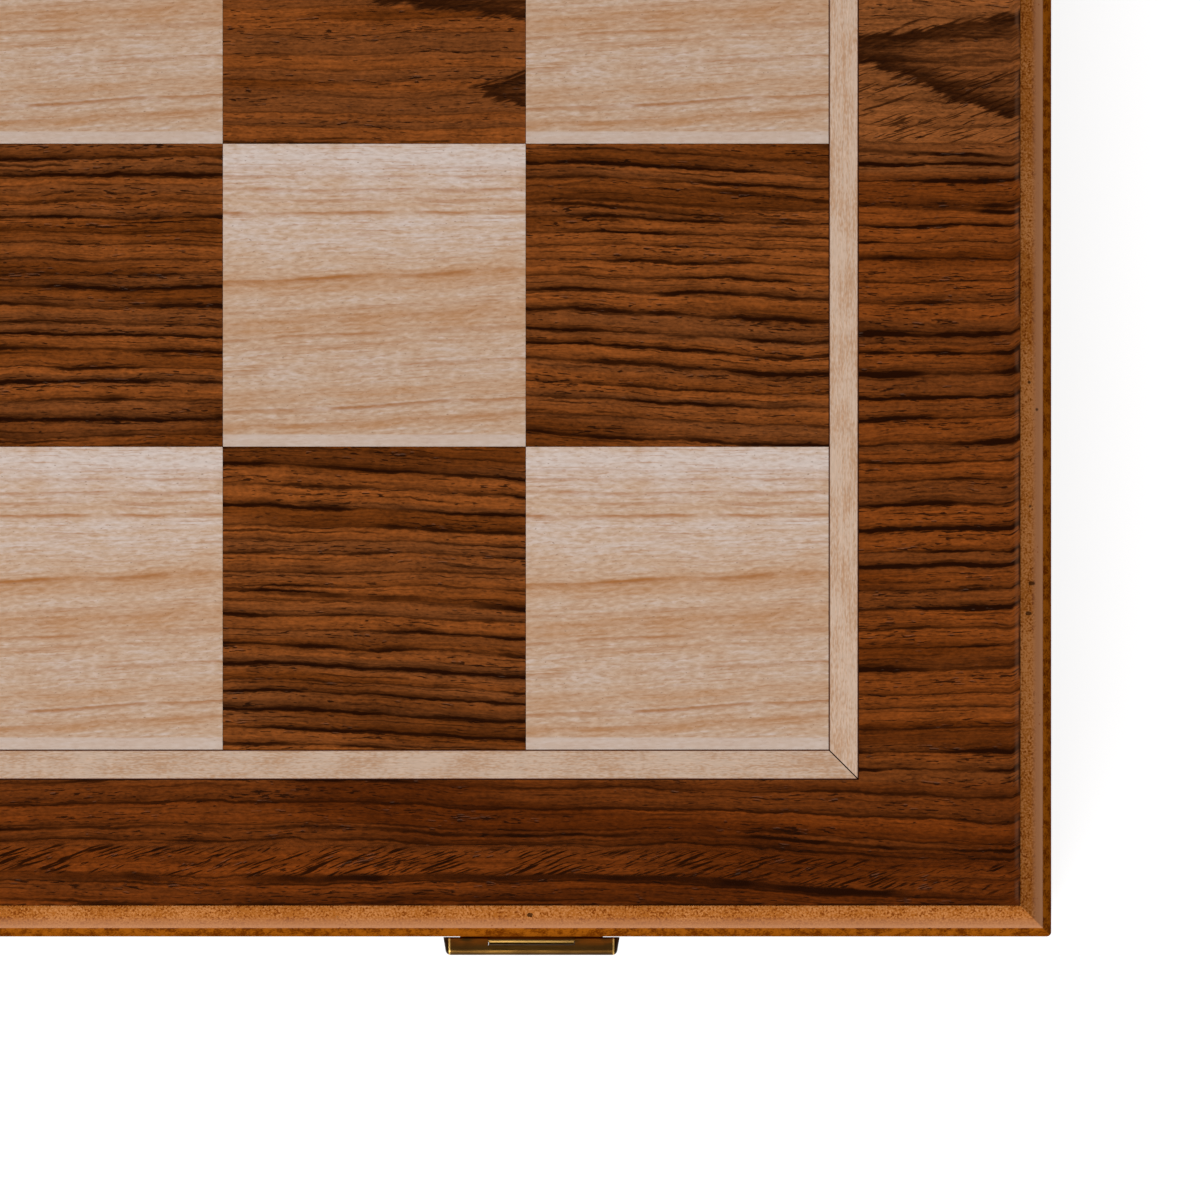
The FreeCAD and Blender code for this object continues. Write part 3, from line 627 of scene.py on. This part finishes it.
def stringing_finish(looks, name, node, grain_along_x):
    """Maple: fine specks and streaks along the strip, and stain along its edges."""
    f = Finish(name)
    x, y, _ = f.place()
    run, across = (x, y) if grain_along_x else (y, f.math("ABSOLUTE", x))
    low, high = (edge[1 if grain_along_x else 0] for edge in span(node))
    streak = f.noise(run / 14, across / 0.6, 2.0, detail=2)
    speck = f.noise(run / 0.9, across / 0.25, 5.0, detail=2)
    cloud = f.noise(run / 9, across / 4, 8.0)
    amount = f.rise(-0.35, 0.6, 0.35 * streak + 0.6 * speck + 0.5 * cloud)
    tint = f.mix(amount, looks.pale, looks.tan)
    # The side strips carry a painted sheen: the same maple drawn brighter.
    sheen = 1.0 if grain_along_x else SIDE_SHEEN
    tint = f.brighten(tint, sheen + 0.15 * f.noise(run / 2, across / 0.2, 11.0))
    inside = f.math("MINIMUM", across - low, high - across)
    tint = f.mix(0.9 * f.fall(0.05, 0.2, inside), tint, looks.glue)
    return f.done(tint, looks.gloss + 0.1 * speck, 0.004 * speck, **LACQUER)


OPEN_PITS = ((152.5, -115.8), (236.3, -60.4), (235.8, -65.4))  # (x, y) of the larger pits in the bevel
PIT_STRETCH = 1.6  # of these pits along X


def moulding_finish(looks, name, bevel_tone, nosing_tone, arris_highlight):
    """Stained fibreboard: a fine speckle of paler and darker fibres with a few open pits, a painted
    highlight that turns the bevel paler towards its arris, a deeper blotchy stain on the nosing, and
    streaks along the flat sides. The tones scale the bevel and the sides; a darker bevel tone paints shade
    on it."""
    f = Finish(name)
    x, y, z = f.place()
    below = f.math("MINIMUM", z, CASE_HEIGHT - z)
    drop = looks.bevel_drop / MM
    cloud = f.noise(x / 12, y / 12, z / 12, detail=2)
    speckle = f.noise(x / 0.34, y / 0.34, z / 0.34, detail=3)
    fibre = f.noise(x / 1.4, y / 1.4, z / 0.3, detail=2)
    bevel = f.mix(f.rise(-0.2, 0.7, speckle + 0.6 * cloud), looks.stain, looks.pale)
    bevel = f.mix(f.rise(0.1, 0.7, 0.5 * fibre - speckle - 0.3 * cloud), bevel, looks.dark)
    bevel = f.brighten(bevel, 0.86 + 0.14 * f.rise(0, 0.3 * drop, below))
    # Painted highlight: paler towards the arris, palest on the arris itself.
    worn_and_highlit = f.rise(0.45 * drop, 0.8 * drop, below)
    bevel = f.mix(arris_highlight * worn_and_highlit, bevel, looks.worn_and_highlit)
    rubbed_and_highlit = f.rise(0.8 * drop, 0.95 * drop, below)
    bevel = f.mix(0.5 * rubbed_and_highlit, bevel, looks.rubbed_and_highlit)
    blotch = f.noise(x / 1.6, y / 1.6, z / 5, detail=3)
    foot = (looks.bevel_drop + looks.nosing_drop) / MM
    flat = f.rise(foot - 2, foot + 2, below)
    grain = f.noise(x / 26, y / 26, z / 0.9, detail=3)
    blotchy = f.rise(-0.45, 0.6, 0.8 * blotch + 0.7 * speckle)
    streaky = f.rise(-0.9, 1.0, grain + 0.25 * blotch + 0.3 * speckle + 0.4 * cloud)
    side = f.mix(blotchy + flat * (streaky - blotchy), looks.amber, looks.umber)
    bevel = f.brighten(bevel, bevel_tone)
    side = f.brighten(side, nosing_tone)
    tint = f.mix(f.rise(drop, drop + 0.25, below), bevel, side)
    pit = f.fall(0.03, 0.085, f.cells(x / 4.5, y / 4.5, z / 4.5)) * f.rise(0.0, 0.15, cloud)
    dot = f.fall(0.08, 0.16, f.cells(x / 1.3, y / 1.3, z / 1.3))
    dot = dot * f.rise(0.05, 0.3, f.noise(x / 3, y / 3, z / 3))
    for pit_x, pit_y in OPEN_PITS:
        along, aside = (x - pit_x) / PIT_STRETCH, y - pit_y
        away = f.math("SQRT", along * along + aside * aside)
        pit = f.math("MAXIMUM", pit, f.fall(0.24, 0.4, away + 0.06 * speckle))
    tint = f.mix(0.6 * dot, tint, looks.dark)
    tint = f.mix(0.85 * pit, tint, looks.pit)
    rough = looks.gloss + 0.12 * speckle + 0.3 * pit
    return f.done(tint, rough, 0.004 * speckle - 0.1 * pit, **DULL_STAIN)


def plain_wood_finish(name, main, streaks, gloss, pitch):
    """Straight grained veneer: streaks, fine fibres and short pores along X."""
    f = Finish(name)
    x, y, z = f.place()
    leaf = z / 30
    across = y + 1.6 * f.noise(x / 90, y / 30, leaf) + 0.3 * f.noise(x / 12, y / 4, leaf)
    streak = f.noise(x / 130, across / pitch, leaf, detail=3)
    fibre = f.noise(x / 6, across / 0.35, leaf, detail=3)
    pore = f.rise(0.4, 0.52, f.noise(x / 3, across / 0.28, leaf))
    tint = f.mix(f.rise(-0.45, 0.5, streak), main, streaks)
    tint = f.brighten(tint, 1 + 0.24 * fibre)
    tint = f.mix(0.5 * pore, tint, streaks)
    return f.done(tint, gloss - 0.1 * fibre, 0.006 * fibre - 0.02 * pore, **LACQUER)


def core_finish(looks):
    """Raw fibreboard, seen only in the joints of the veneers."""
    f = Finish("core_fibreboard")
    x, y, z = f.place()
    speckle = f.noise(x / 0.6, y / 0.6, z / 0.6, detail=3)
    tint = f.brighten(looks.core, 1 + 0.4 * speckle)
    return f.done(tint, 0.8 + 0.1 * speckle, 0.01 * speckle, **LACQUER)


FILM_RANGE = 1.9  # of the noise from bare to covered brass
THICK_FILM, THIN_FILM = -1.0, -0.6  # noise from which the film begins
ANTIQUE_DULLNESS = 0.12  # added to the roughness of the antique brass


def filmed_brass(finish, place, bare, film, gloss, film_from):
    """Brushed brass under a film that is thicker in clouds: its colour, roughness and height."""
    x, y, z = place
    cloud = finish.noise(x / 8, y / 8, z / 8, detail=4)
    brush = finish.noise(x / 9, y / 0.12, z / 0.12, detail=2)
    cover = finish.rise(film_from, film_from + FILM_RANGE, cloud + 0.25 * brush)
    rough = gloss + 0.15 * cloud + 0.12 * brush
    return finish.mix(cover, bare, film), rough, 0.003 * brush


def brass_finish(name, bare, film, gloss, film_from):
    """Brushed brass under a film."""
    f = Finish(name)
    return f.done(*filmed_brass(f, f.place(), bare, film, gloss, film_from), metallic=1.0)


FLANK = 0.85  # width of a hasp's leaning end, seen from above
EDGE_HIGHLIGHT = 0.35  # width of the painted highlight beside it
REFLECTION_FROM = 1.9  # behind a hasp's front face, where the painted reflection begins


def hasp_finish(looks):
    """Brushed antique brass by place on the hasp: painted shade on its two leaning ends, a painted
    highlight along the edge beside each of them, and a painted orange reflection of the wooden rail in
    clouds on its rear half."""
    f = Finish("antique_brass_hasp")
    x, y, z = place = f.place()
    low, high = span("right_latch_hasp")
    half = (high[0] - low[0]) / 2
    from_end = half - f.math("ABSOLUTE", f.math("ABSOLUTE", x) - (low[0] + half))
    gloss = looks.gloss + ANTIQUE_DULLNESS
    tint, rough, height = filmed_brass(f, place, looks.antique, looks.patina, gloss, THICK_FILM)
    # Painted reflection: orange of the wooden rail in clouds on the rear half.
    rear = f.rise(REFLECTION_FROM - 0.7, REFLECTION_FROM + 0.5, y - low[1])
    tint = f.mix(0.75 * rear * f.rise(-0.5, 0.2, f.noise(x / 4, y / 1.5, z / 4)), tint, looks.amber)
    # Painted shade on the two leaning ends.
    flank_shade = f.fall(FLANK - 0.1, FLANK + 0.1, from_end)
    # Painted highlight along the edge beside each end.
    edge = FLANK + EDGE_HIGHLIGHT
    rubbed_and_highlit = f.rise(FLANK, FLANK + 0.1, from_end) * f.fall(edge - 0.1, edge, from_end)
    tint = f.mix(0.9 * flank_shade, tint, looks.flank_shade)
    tint = f.mix(0.85 * rubbed_and_highlit, tint, looks.edge)
    return f.done(tint, rough, height, metallic=1.0)


def dress(material, *nodes):
    """Gives a finish to CAD nodes that keep their own shape."""
    for name in nodes:
        for slot in frame["nodes"][name].material_slots:
            slot.material = material


# New pieces


def add_piece(name, points, faces, material, node, sharp_deg=35.0):
    """A mesh in place of a CAD node, from points in millimetres. It rides on the node's body."""
    mesh = bpy.data.meshes.new(name)
    mesh.from_pydata((points * MM).tolist(), [], faces)
    mesh.materials.append(material)
    mesh.polygons.foreach_set("use_smooth", np.ones(len(mesh.polygons), bool))
    mesh.set_sharp_from_angle(angle=math.radians(sharp_deg))
    mesh.update()
    piece = bpy.data.objects.new(name, mesh)
    bpy.context.scene.collection.objects.link(piece)
    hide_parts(node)
    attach(piece, frame["nodes"][node]["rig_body"])
    return piece


def rounded_outline(corners, radii, steps=5):
    """A closed outline through corners, each rounded by a circle's arc that touches both of its sides."""
    to_last = np.roll(corners, 1, axis=0) - corners
    to_next = np.roll(corners, -1, axis=0) - corners
    to_last /= np.linalg.norm(to_last, axis=1, keepdims=True)
    to_next /= np.linalg.norm(to_next, axis=1, keepdims=True)
    half_angle = np.arccos(np.clip((to_last * to_next).sum(1), -1, 1)) / 2
    middle_way = to_last + to_next
    middle_way /= np.linalg.norm(middle_way, axis=1, keepdims=True)
    centres = corners + middle_way * (radii / np.sin(half_angle))[:, None]
    start = corners + to_last * (radii / np.tan(half_angle))[:, None] - centres
    end = corners + to_next * (radii / np.tan(half_angle))[:, None] - centres
    turn = np.pi - 2 * half_angle
    part = np.linspace(0, 1, steps)[None, :, None]
    angle = turn[:, None, None]
    from_start = np.sin((1 - part) * angle) / np.sin(angle)
    from_end = np.sin(part * angle) / np.sin(angle)
    arcs = start[:, None] * from_start + end[:, None] * from_end
    return (centres[:, None] + arcs).reshape(-1, 2)


def tube(rows):
    """A closed skin through rows of points: quads from row to row round the loop, and a flat face at each
    end."""
    count, around = rows.shape[:2]
    index = np.arange(count * around).reshape(count, around)
    after = np.roll(index, -1, axis=1)
    quads = np.stack([index[:-1], after[:-1], after[1:], index[1:]], axis=-1).reshape(-1, 4)
    faces = quads.tolist() + [index[0, ::-1].tolist(), index[-1].tolist()]
    return rows.reshape(-1, 3), faces


FOOT_ROUND = 1.2  # of the rail's section below its nosing
BELLY_ROUND = 4.0  # of the nosing's swell


def rail_outline(looks):
    """The rail's section: (depth behind its outer face, height above the chess face), round its edge."""
    bevel = looks.bevel_width / MM
    nosing = MOULDING - bevel
    foot = (looks.bevel_drop + looks.nosing_drop) / MM
    drop = looks.bevel_drop / MM
    belly = looks.nosing_belly / MM
    arris = looks.arris / MM
    easing = looks.easing / MM
    corners = np.array(
        [
            (0.0, LEAF_HEIGHT),
            (0.0, foot),
            (nosing / 2 - belly, (foot + drop) / 2),
            (nosing, drop),
            (MOULDING, 0.0),
            (MOULDING, REBATE),
            (RAIL_WIDTH, REBATE),
            (RAIL_WIDTH, LEAF_HEIGHT),
        ]
    )
    inner = arris / 3
    radii = np.array([easing, FOOT_ROUND, BELLY_ROUND, arris, arris / 2, inner, inner, easing])
    return rounded_outline(corners, radii)


def rail_rows(outline, rail_length, case_width, corner, stations=()):
    """Sections of a rail along X. At the two mitred ends a point's reach is shorter by its depth, and the
    outer face turns round the case's upright corner, a quarter of a turn shared by two rails. The stations
    between them are given as x and a function that lowers the section there."""
    depth, height = outline.T
    ends = []
    for turn in np.linspace(0, np.pi / 4, CORNER_STEPS):
        inset = np.maximum(depth, corner * (1 - math.cos(turn)))
        along = np.minimum(rail_length / 2 - corner * (1 - math.sin(turn)), rail_length / 2 - inset)
        ends.append(np.stack([along, inset - case_width / 2, height], axis=-1))
    mirror = np.array([-1, 1, 1])
    rows = [end * mirror for end in reversed(ends)]
    for x, lowered in stations:
        section = [np.full_like(depth, x), depth - case_width / 2, lowered(depth, height)]
        rows.append(np.stack(section, axis=-1))
    return np.array(rows + ends)


def quarter_turned(points, quarters):
    """Points turned about Z by quarter turns."""
    angle = quarters * np.pi / 2
    c, s = round(math.cos(angle)), round(math.sin(angle))
    x, y, z = points.T
    return np.stack([c * x - s * y, s * x + c * y, z], axis=-1)


def turned_over(points):
    """Points of a lower piece turned half round about Y at the parting plane, where the upper piece is."""
    x, y, z = points.T
    return np.stack([-x, y, 2 * PARTING - z], axis=-1)


CORNER_STEPS = 5
HINGE_FIT = 0.1  # round a hinge leaf in its mortise
BARREL_ROOM = 0.3  # round a hinge barrel in the wood
HINGE_SHEET = 1.2
LONG_TONES = 0.99, 1.04, 0.7  # of the bevel and the steep sides, and the strength of the arris's painted highlight
SIDE_TONES = 0.64, 1.08, 1.0  # painted shade: the side rails' bevel is drawn darker than the long rails', and their arris highlight stronger


def hinge_stations():
    """Where the sections of a lower back rail change, turned to its own frame: the leaves' pockets, with
    the groove of the barrel in the same length."""
    pin_low, pin_high = span("right_hinge_pin")
    leaf_low, leaf_high = span("right_hinge_lower_leaf")
    axis_depth = CASE_DEPTH / 2 - (pin_low[1] + pin_high[1]) / 2
    barrel = (leaf_high[1] - (pin_low[1] + pin_high[1]) / 2) + BARREL_ROOM
    pocket_depth = CASE_DEPTH / 2 - leaf_low[1] + HINGE_FIT
    floor = LEAF_HEIGHT - HINGE_SHEET

    def plain(depth, height):
        """The section as it is."""
        return height

    def lowered(depth, height):
        """The section cut down to the pocket's floor and to the barrel's groove."""
        beside = np.clip(barrel**2 - (depth - axis_depth) ** 2, 0, None)
        groove = np.where(beside > 0, PARTING - np.sqrt(beside), height)
        pocket = np.where(depth < pocket_depth, floor, height)
        return np.minimum(height, np.minimum(groove, pocket))

    start, end = pin_low[0] - HINGE_FIT, pin_high[0] + HINGE_FIT
    one = [(start, plain), (start, lowered), (end, lowered), (end, plain)]
    other = [(-end, plain), (-end, lowered), (-start, lowered), (-start, plain)]
    return other + one


# Operators


def looks_of(context):
    """All properties of the board's looks."""
    return context.scene.board_looks


class BOARD_OT_veneers(bpy.types.Operator):
    """Dark and pale veneers of the chess faces"""

    bl_idname = "board.veneers"
    bl_label = "Chess veneers"

    def execute(self, context):
        looks = looks_of(context)
        dark = dark_veneer_finish(looks.dark_veneer)
        pale = pale_veneer_finish(looks.pale_veneer)
        for leaf in LEAVES:
            dress(dark, f"{leaf}_dark_squares", f"{leaf}_border")
            dress(pale, f"{leaf}_pale_squares")
        return {"FINISHED"}


class BOARD_OT_stringing(bpy.types.Operator):
    """Pale strips round the squares"""

    bl_idname = "board.stringing"
    bl_label = "Stringing"

    def execute(self, context):
        looks = looks_of(context).stringing
        front = stringing_finish(looks, "stringing_front", "lower_front_line", True)
        side = stringing_finish(looks, "stringing_side", "lower_right_line", False)
        for leaf in LEAVES:
            dress(front, f"{leaf}_front_line")
            dress(side, f"{leaf}_left_line", f"{leaf}_right_line")
        return {"FINISHED"}


class BOARD_OT_rails(bpy.types.Operator):
    """Moulded and mitred rails of both trays"""

    bl_idname = "board.rails"
    bl_label = "Rails"

    def execute(self, context):
        looks = looks_of(context).moulding
        finishes = [
            moulding_finish(looks, "stained_long_rails", *LONG_TONES),
            # The side rails' finish is a copy whose bevel is drawn darker: painted shade.
            moulding_finish(looks, "stained_side_rails", *SIDE_TONES),
        ]
        outline = rail_outline(looks)
        corner = looks.corner / MM
        for quarter, side in enumerate(("front", "right", "back", "left")):
            long_side = quarter % 2 == 0
            reach, width = (CASE_LENGTH, CASE_DEPTH) if long_side else (CASE_DEPTH, CASE_LENGTH)
            stations = hinge_stations() if side == "back" else ()
            finish = finishes[quarter % 2]
            points, faces = tube(rail_rows(outline, reach, width, corner, stations))
            points = quarter_turned(points, quarter)
            add_piece(f"lower_{side}_moulding", points, faces, finish, f"lower_{side}_rail")
            add_piece(f"upper_{side}_moulding", turned_over(points), faces, finish, f"upper_{side}_rail")
        return {"FINISHED"}


FIELD_STREAKS = 5.0  # width of the streaks in the trays' woods, in millimetres
PALE_POINT_STREAKS = 3.0
DARK_POINT_STREAKS = 2.4


class BOARD_OT_trays(bpy.types.Operator):
    """Core panels and the backgammon field inside the trays"""

    bl_idname = "board.trays"
    bl_label = "Trays"

    def execute(self, context):
        looks = looks_of(context).tray
        core = core_finish(looks)
        field = plain_wood_finish(
            "field_satin", looks.field, looks.field_dark, looks.gloss, FIELD_STREAKS
        )
        pale = plain_wood_finish(
            "pale_points_satin", looks.pale_point, looks.pale_point_dark, looks.gloss, PALE_POINT_STREAKS
        )
        dark = plain_wood_finish(
            "dark_points_satin", looks.dark_point, looks.dark_point_dark, looks.gloss, DARK_POINT_STREAKS
        )
        for leaf in LEAVES:
            dress(core, f"{leaf}_panel")
            dress(field, f"{leaf}_field")
            dress(pale, f"{leaf}_pale_points")
            dress(dark, f"{leaf}_dark_points")
        return {"FINISHED"}


class BOARD_OT_brass(bpy.types.Operator):
    """Hinges, latches, pins and screws"""

    bl_idname = "board.brass"
    bl_label = "Brass"

    def execute(self, context):
        looks = looks_of(context).brass
        dull = looks.gloss + ANTIQUE_DULLNESS
        antique = brass_finish("antique_brass", looks.antique, looks.patina, dull, THICK_FILM)
        hasp = hasp_finish(looks)
        rubbed_and_highlit = brass_finish("rubbed_brass", looks.rubbed_and_highlit, looks.patina, dull, THIN_FILM)
        bright = brass_finish("bright_brass_brushed", looks.bright, looks.tarnish, looks.gloss, THIN_FILM)
        for side in SIDES:
            dress(hasp, f"{side}_latch_hasp")
            dress(antique, f"{side}_latch_keeper")
            dress(rubbed_and_highlit, f"{side}_latch_plate", f"{side}_latch_pin")
            dress(bright, f"{side}_hinge_lower_leaf", f"{side}_hinge_upper_leaf", f"{side}_hinge_pin")
        dress(bright, "lower_hinge_screws", "upper_hinge_screws", "latch_plate_screws", "keeper_screws")
        return {"FINISHED"}


FLOOR_REACH = 6.0  # metres from the middle to the floor's edge
FLOOR_BELOW = 0.0002  # metres under the case
FLOOR_GLOW = 0.81  # own white of the floor, under which shadows stay visible
KEY_SIZE, KEY_PLACE = 1.5, (-0.4, -1.2, 1.5)  # metres
FILL_SIZE, FILL_PLACE = 1.6, (1.1, 0.5, 1.6)  # metres
CEILING_FROM, CEILING_TO = 0.15, 0.8  # upward part of the directions in which the studio darkens
CEILING_LIGHT = 0.05  # straight above, beside 1 at the horizon
CAMERA_REACH = 100  # metres


def add_light(name, power, size, place, target):
    """A square soft light at a place, turned towards a target."""
    data = bpy.data.lights.new(name, "AREA")
    data.energy = power
    data.size = size
    lamp = bpy.data.objects.new(name, data)
    lamp.location = place
    lamp.rotation_euler = (Vector(target) - Vector(place)).to_track_quat("-Z", "Y").to_euler()
    bpy.context.scene.collection.objects.link(lamp)


def seen_directly(tree):
    """A socket that is 1 for camera, glossy and transmitted rays, and 0 for light that falls on the
    object."""
    path = tree.nodes.new("ShaderNodeLightPath")
    socket = path.outputs["Is Camera Ray"]
    for other in ("Is Glossy Ray", "Is Transmission Ray"):
        either = tree.nodes.new("ShaderNodeMath")
        either.operation = "MAXIMUM"
        tree.links.new(socket, either.inputs[0])
        tree.links.new(path.outputs[other], either.inputs[1])
        socket = either.outputs[0]
    return socket


class BOARD_OT_stage(bpy.types.Operator):
    """Floor, studio light and camera"""

    bl_idname = "board.stage"
    bl_label = "Stage"

    def execute(self, context):
        looks = looks_of(context).stage
        self.add_floor(looks)
        self.add_studio(context.scene, looks)
        self.add_camera(context.scene, looks)
        context.scene.view_settings.view_transform = "Standard"
        return {"FINISHED"}

    def add_floor(self, looks):
        """A pale sheet that shows white where no shadow falls."""
        material = bpy.data.materials.new("studio_floor")
        material.use_nodes = True
        tree = material.node_tree
        tree.nodes.clear()
        paint = tree.nodes.new("ShaderNodeBsdfDiffuse")
        paint.inputs["Color"].default_value = (*looks.floor, 1)
        glow = tree.nodes.new("ShaderNodeEmission")
        glow.inputs["Color"].default_value = (1, 1, 1, 1)
        level = tree.nodes.new("ShaderNodeMath")
        level.operation = "MULTIPLY"
        level.inputs[1].default_value = FLOOR_GLOW
        tree.links.new(seen_directly(tree), level.inputs[0])
        tree.links.new(level.outputs[0], glow.inputs["Strength"])
        both = tree.nodes.new("ShaderNodeAddShader")
        tree.links.new(paint.outputs[0], both.inputs[0])
        tree.links.new(glow.outputs[0], both.inputs[1])
        output = tree.nodes.new("ShaderNodeOutputMaterial")
        tree.links.new(both.outputs[0], output.inputs["Surface"])
        mesh = bpy.data.meshes.new("floor")
        ways = ((-1, -1), (1, -1), (1, 1), (-1, 1))
        corners = [(x * FLOOR_REACH, y * FLOOR_REACH, -FLOOR_BELOW) for x, y in ways]
        mesh.from_pydata(corners, [], [(0, 1, 2, 3)])
        mesh.materials.append(material)
        floor = bpy.data.objects.new("floor", mesh)
        bpy.context.scene.collection.objects.link(floor)

    def add_studio(self, scene, looks):
        """Two soft lights, and a white horizon under a darker ceiling."""
        target = (0, 0, CASE_HEIGHT * MM)
        add_light("key_light", looks.key, KEY_SIZE, KEY_PLACE, target)
        add_light("fill_light", looks.fill, FILL_SIZE, FILL_PLACE, target)
        world = bpy.data.worlds.new("studio")
        scene.world = world
        world.use_nodes = True
        tree = world.node_tree
        background = tree.nodes["Background"]
        background.inputs["Color"].default_value = (1, 1, 1, 1)
        way = tree.nodes.new("ShaderNodeTexCoord")
        split = tree.nodes.new("ShaderNodeSeparateXYZ")
        tree.links.new(way.outputs["Generated"], split.inputs[0])
        ceiling = tree.nodes.new("ShaderNodeMapRange")
        ceiling.interpolation_type = "SMOOTHSTEP"
        ceiling.inputs["From Min"].default_value = CEILING_FROM
        ceiling.inputs["From Max"].default_value = CEILING_TO
        ceiling.inputs["To Min"].default_value = 1.0
        ceiling.inputs["To Max"].default_value = CEILING_LIGHT
        tree.links.new(split.outputs["Z"], ceiling.inputs["Value"])
        shown = tree.nodes.new("ShaderNodeMapRange")
        shown.inputs["To Min"].default_value = looks.ambient
        tree.links.new(seen_directly(tree), shown.inputs["Value"])
        level = tree.nodes.new("ShaderNodeMath")
        level.operation = "MULTIPLY"
        tree.links.new(ceiling.outputs["Result"], level.inputs[0])
        tree.links.new(shown.outputs["Result"], level.inputs[1])
        tree.links.new(level.outputs[0], background.inputs["Strength"])

    def add_camera(self, scene, looks):
        """A long lens that looks straight down on the right front corner of the closed case."""
        data = bpy.data.cameras.new("camera")
        data.lens = looks.lens
        data.clip_end = CAMERA_REACH
        camera = bpy.data.objects.new("camera", data)
        distance = looks.lens / data.sensor_width * looks.view_width
        camera.location = (looks.view_x, looks.view_y, CASE_HEIGHT * MM + distance)
        scene.collection.objects.link(camera)
        scene.camera = camera


class BOARD_PT_looks(bpy.types.Panel):
    """Steps that finish the board"""

    bl_idname = "BOARD_PT_looks"
    bl_label = "Games board"
    bl_space_type = "VIEW_3D"
    bl_region_type = "UI"
    bl_category = "Board"

    def draw(self, context):
        for step in STEPS:
            self.layout.operator(step.bl_idname)


STEPS = (
    BOARD_OT_veneers,
    BOARD_OT_stringing,
    BOARD_OT_rails,
    BOARD_OT_trays,
    BOARD_OT_brass,
    BOARD_OT_stage,
)
GROUPS = (
    DarkVeneerLooks,
    PaleVeneerLooks,
    StringingLooks,
    MouldingLooks,
    TrayLooks,
    BrassLooks,
    StageLooks,
    BoardLooks,
)
CLASSES = (*GROUPS, *STEPS, BOARD_PT_looks)


def register():
    """Registers the classes and hangs the looks on the scene."""
    for made in CLASSES:
        bpy.utils.register_class(made)
    bpy.types.Scene.board_looks = PointerProperty(type=BoardLooks)


def unregister():
    """Takes the looks and the classes away again."""
    del bpy.types.Scene.board_looks
    for made in reversed(CLASSES):
        bpy.utils.unregister_class(made)


def main():
    """Registers the add-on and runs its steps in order."""
    register()
    for step in STEPS:
        group, name = step.bl_idname.split(".")
        getattr(getattr(bpy.ops, group), name)()
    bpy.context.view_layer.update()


if __name__ == "__main__":
    main()
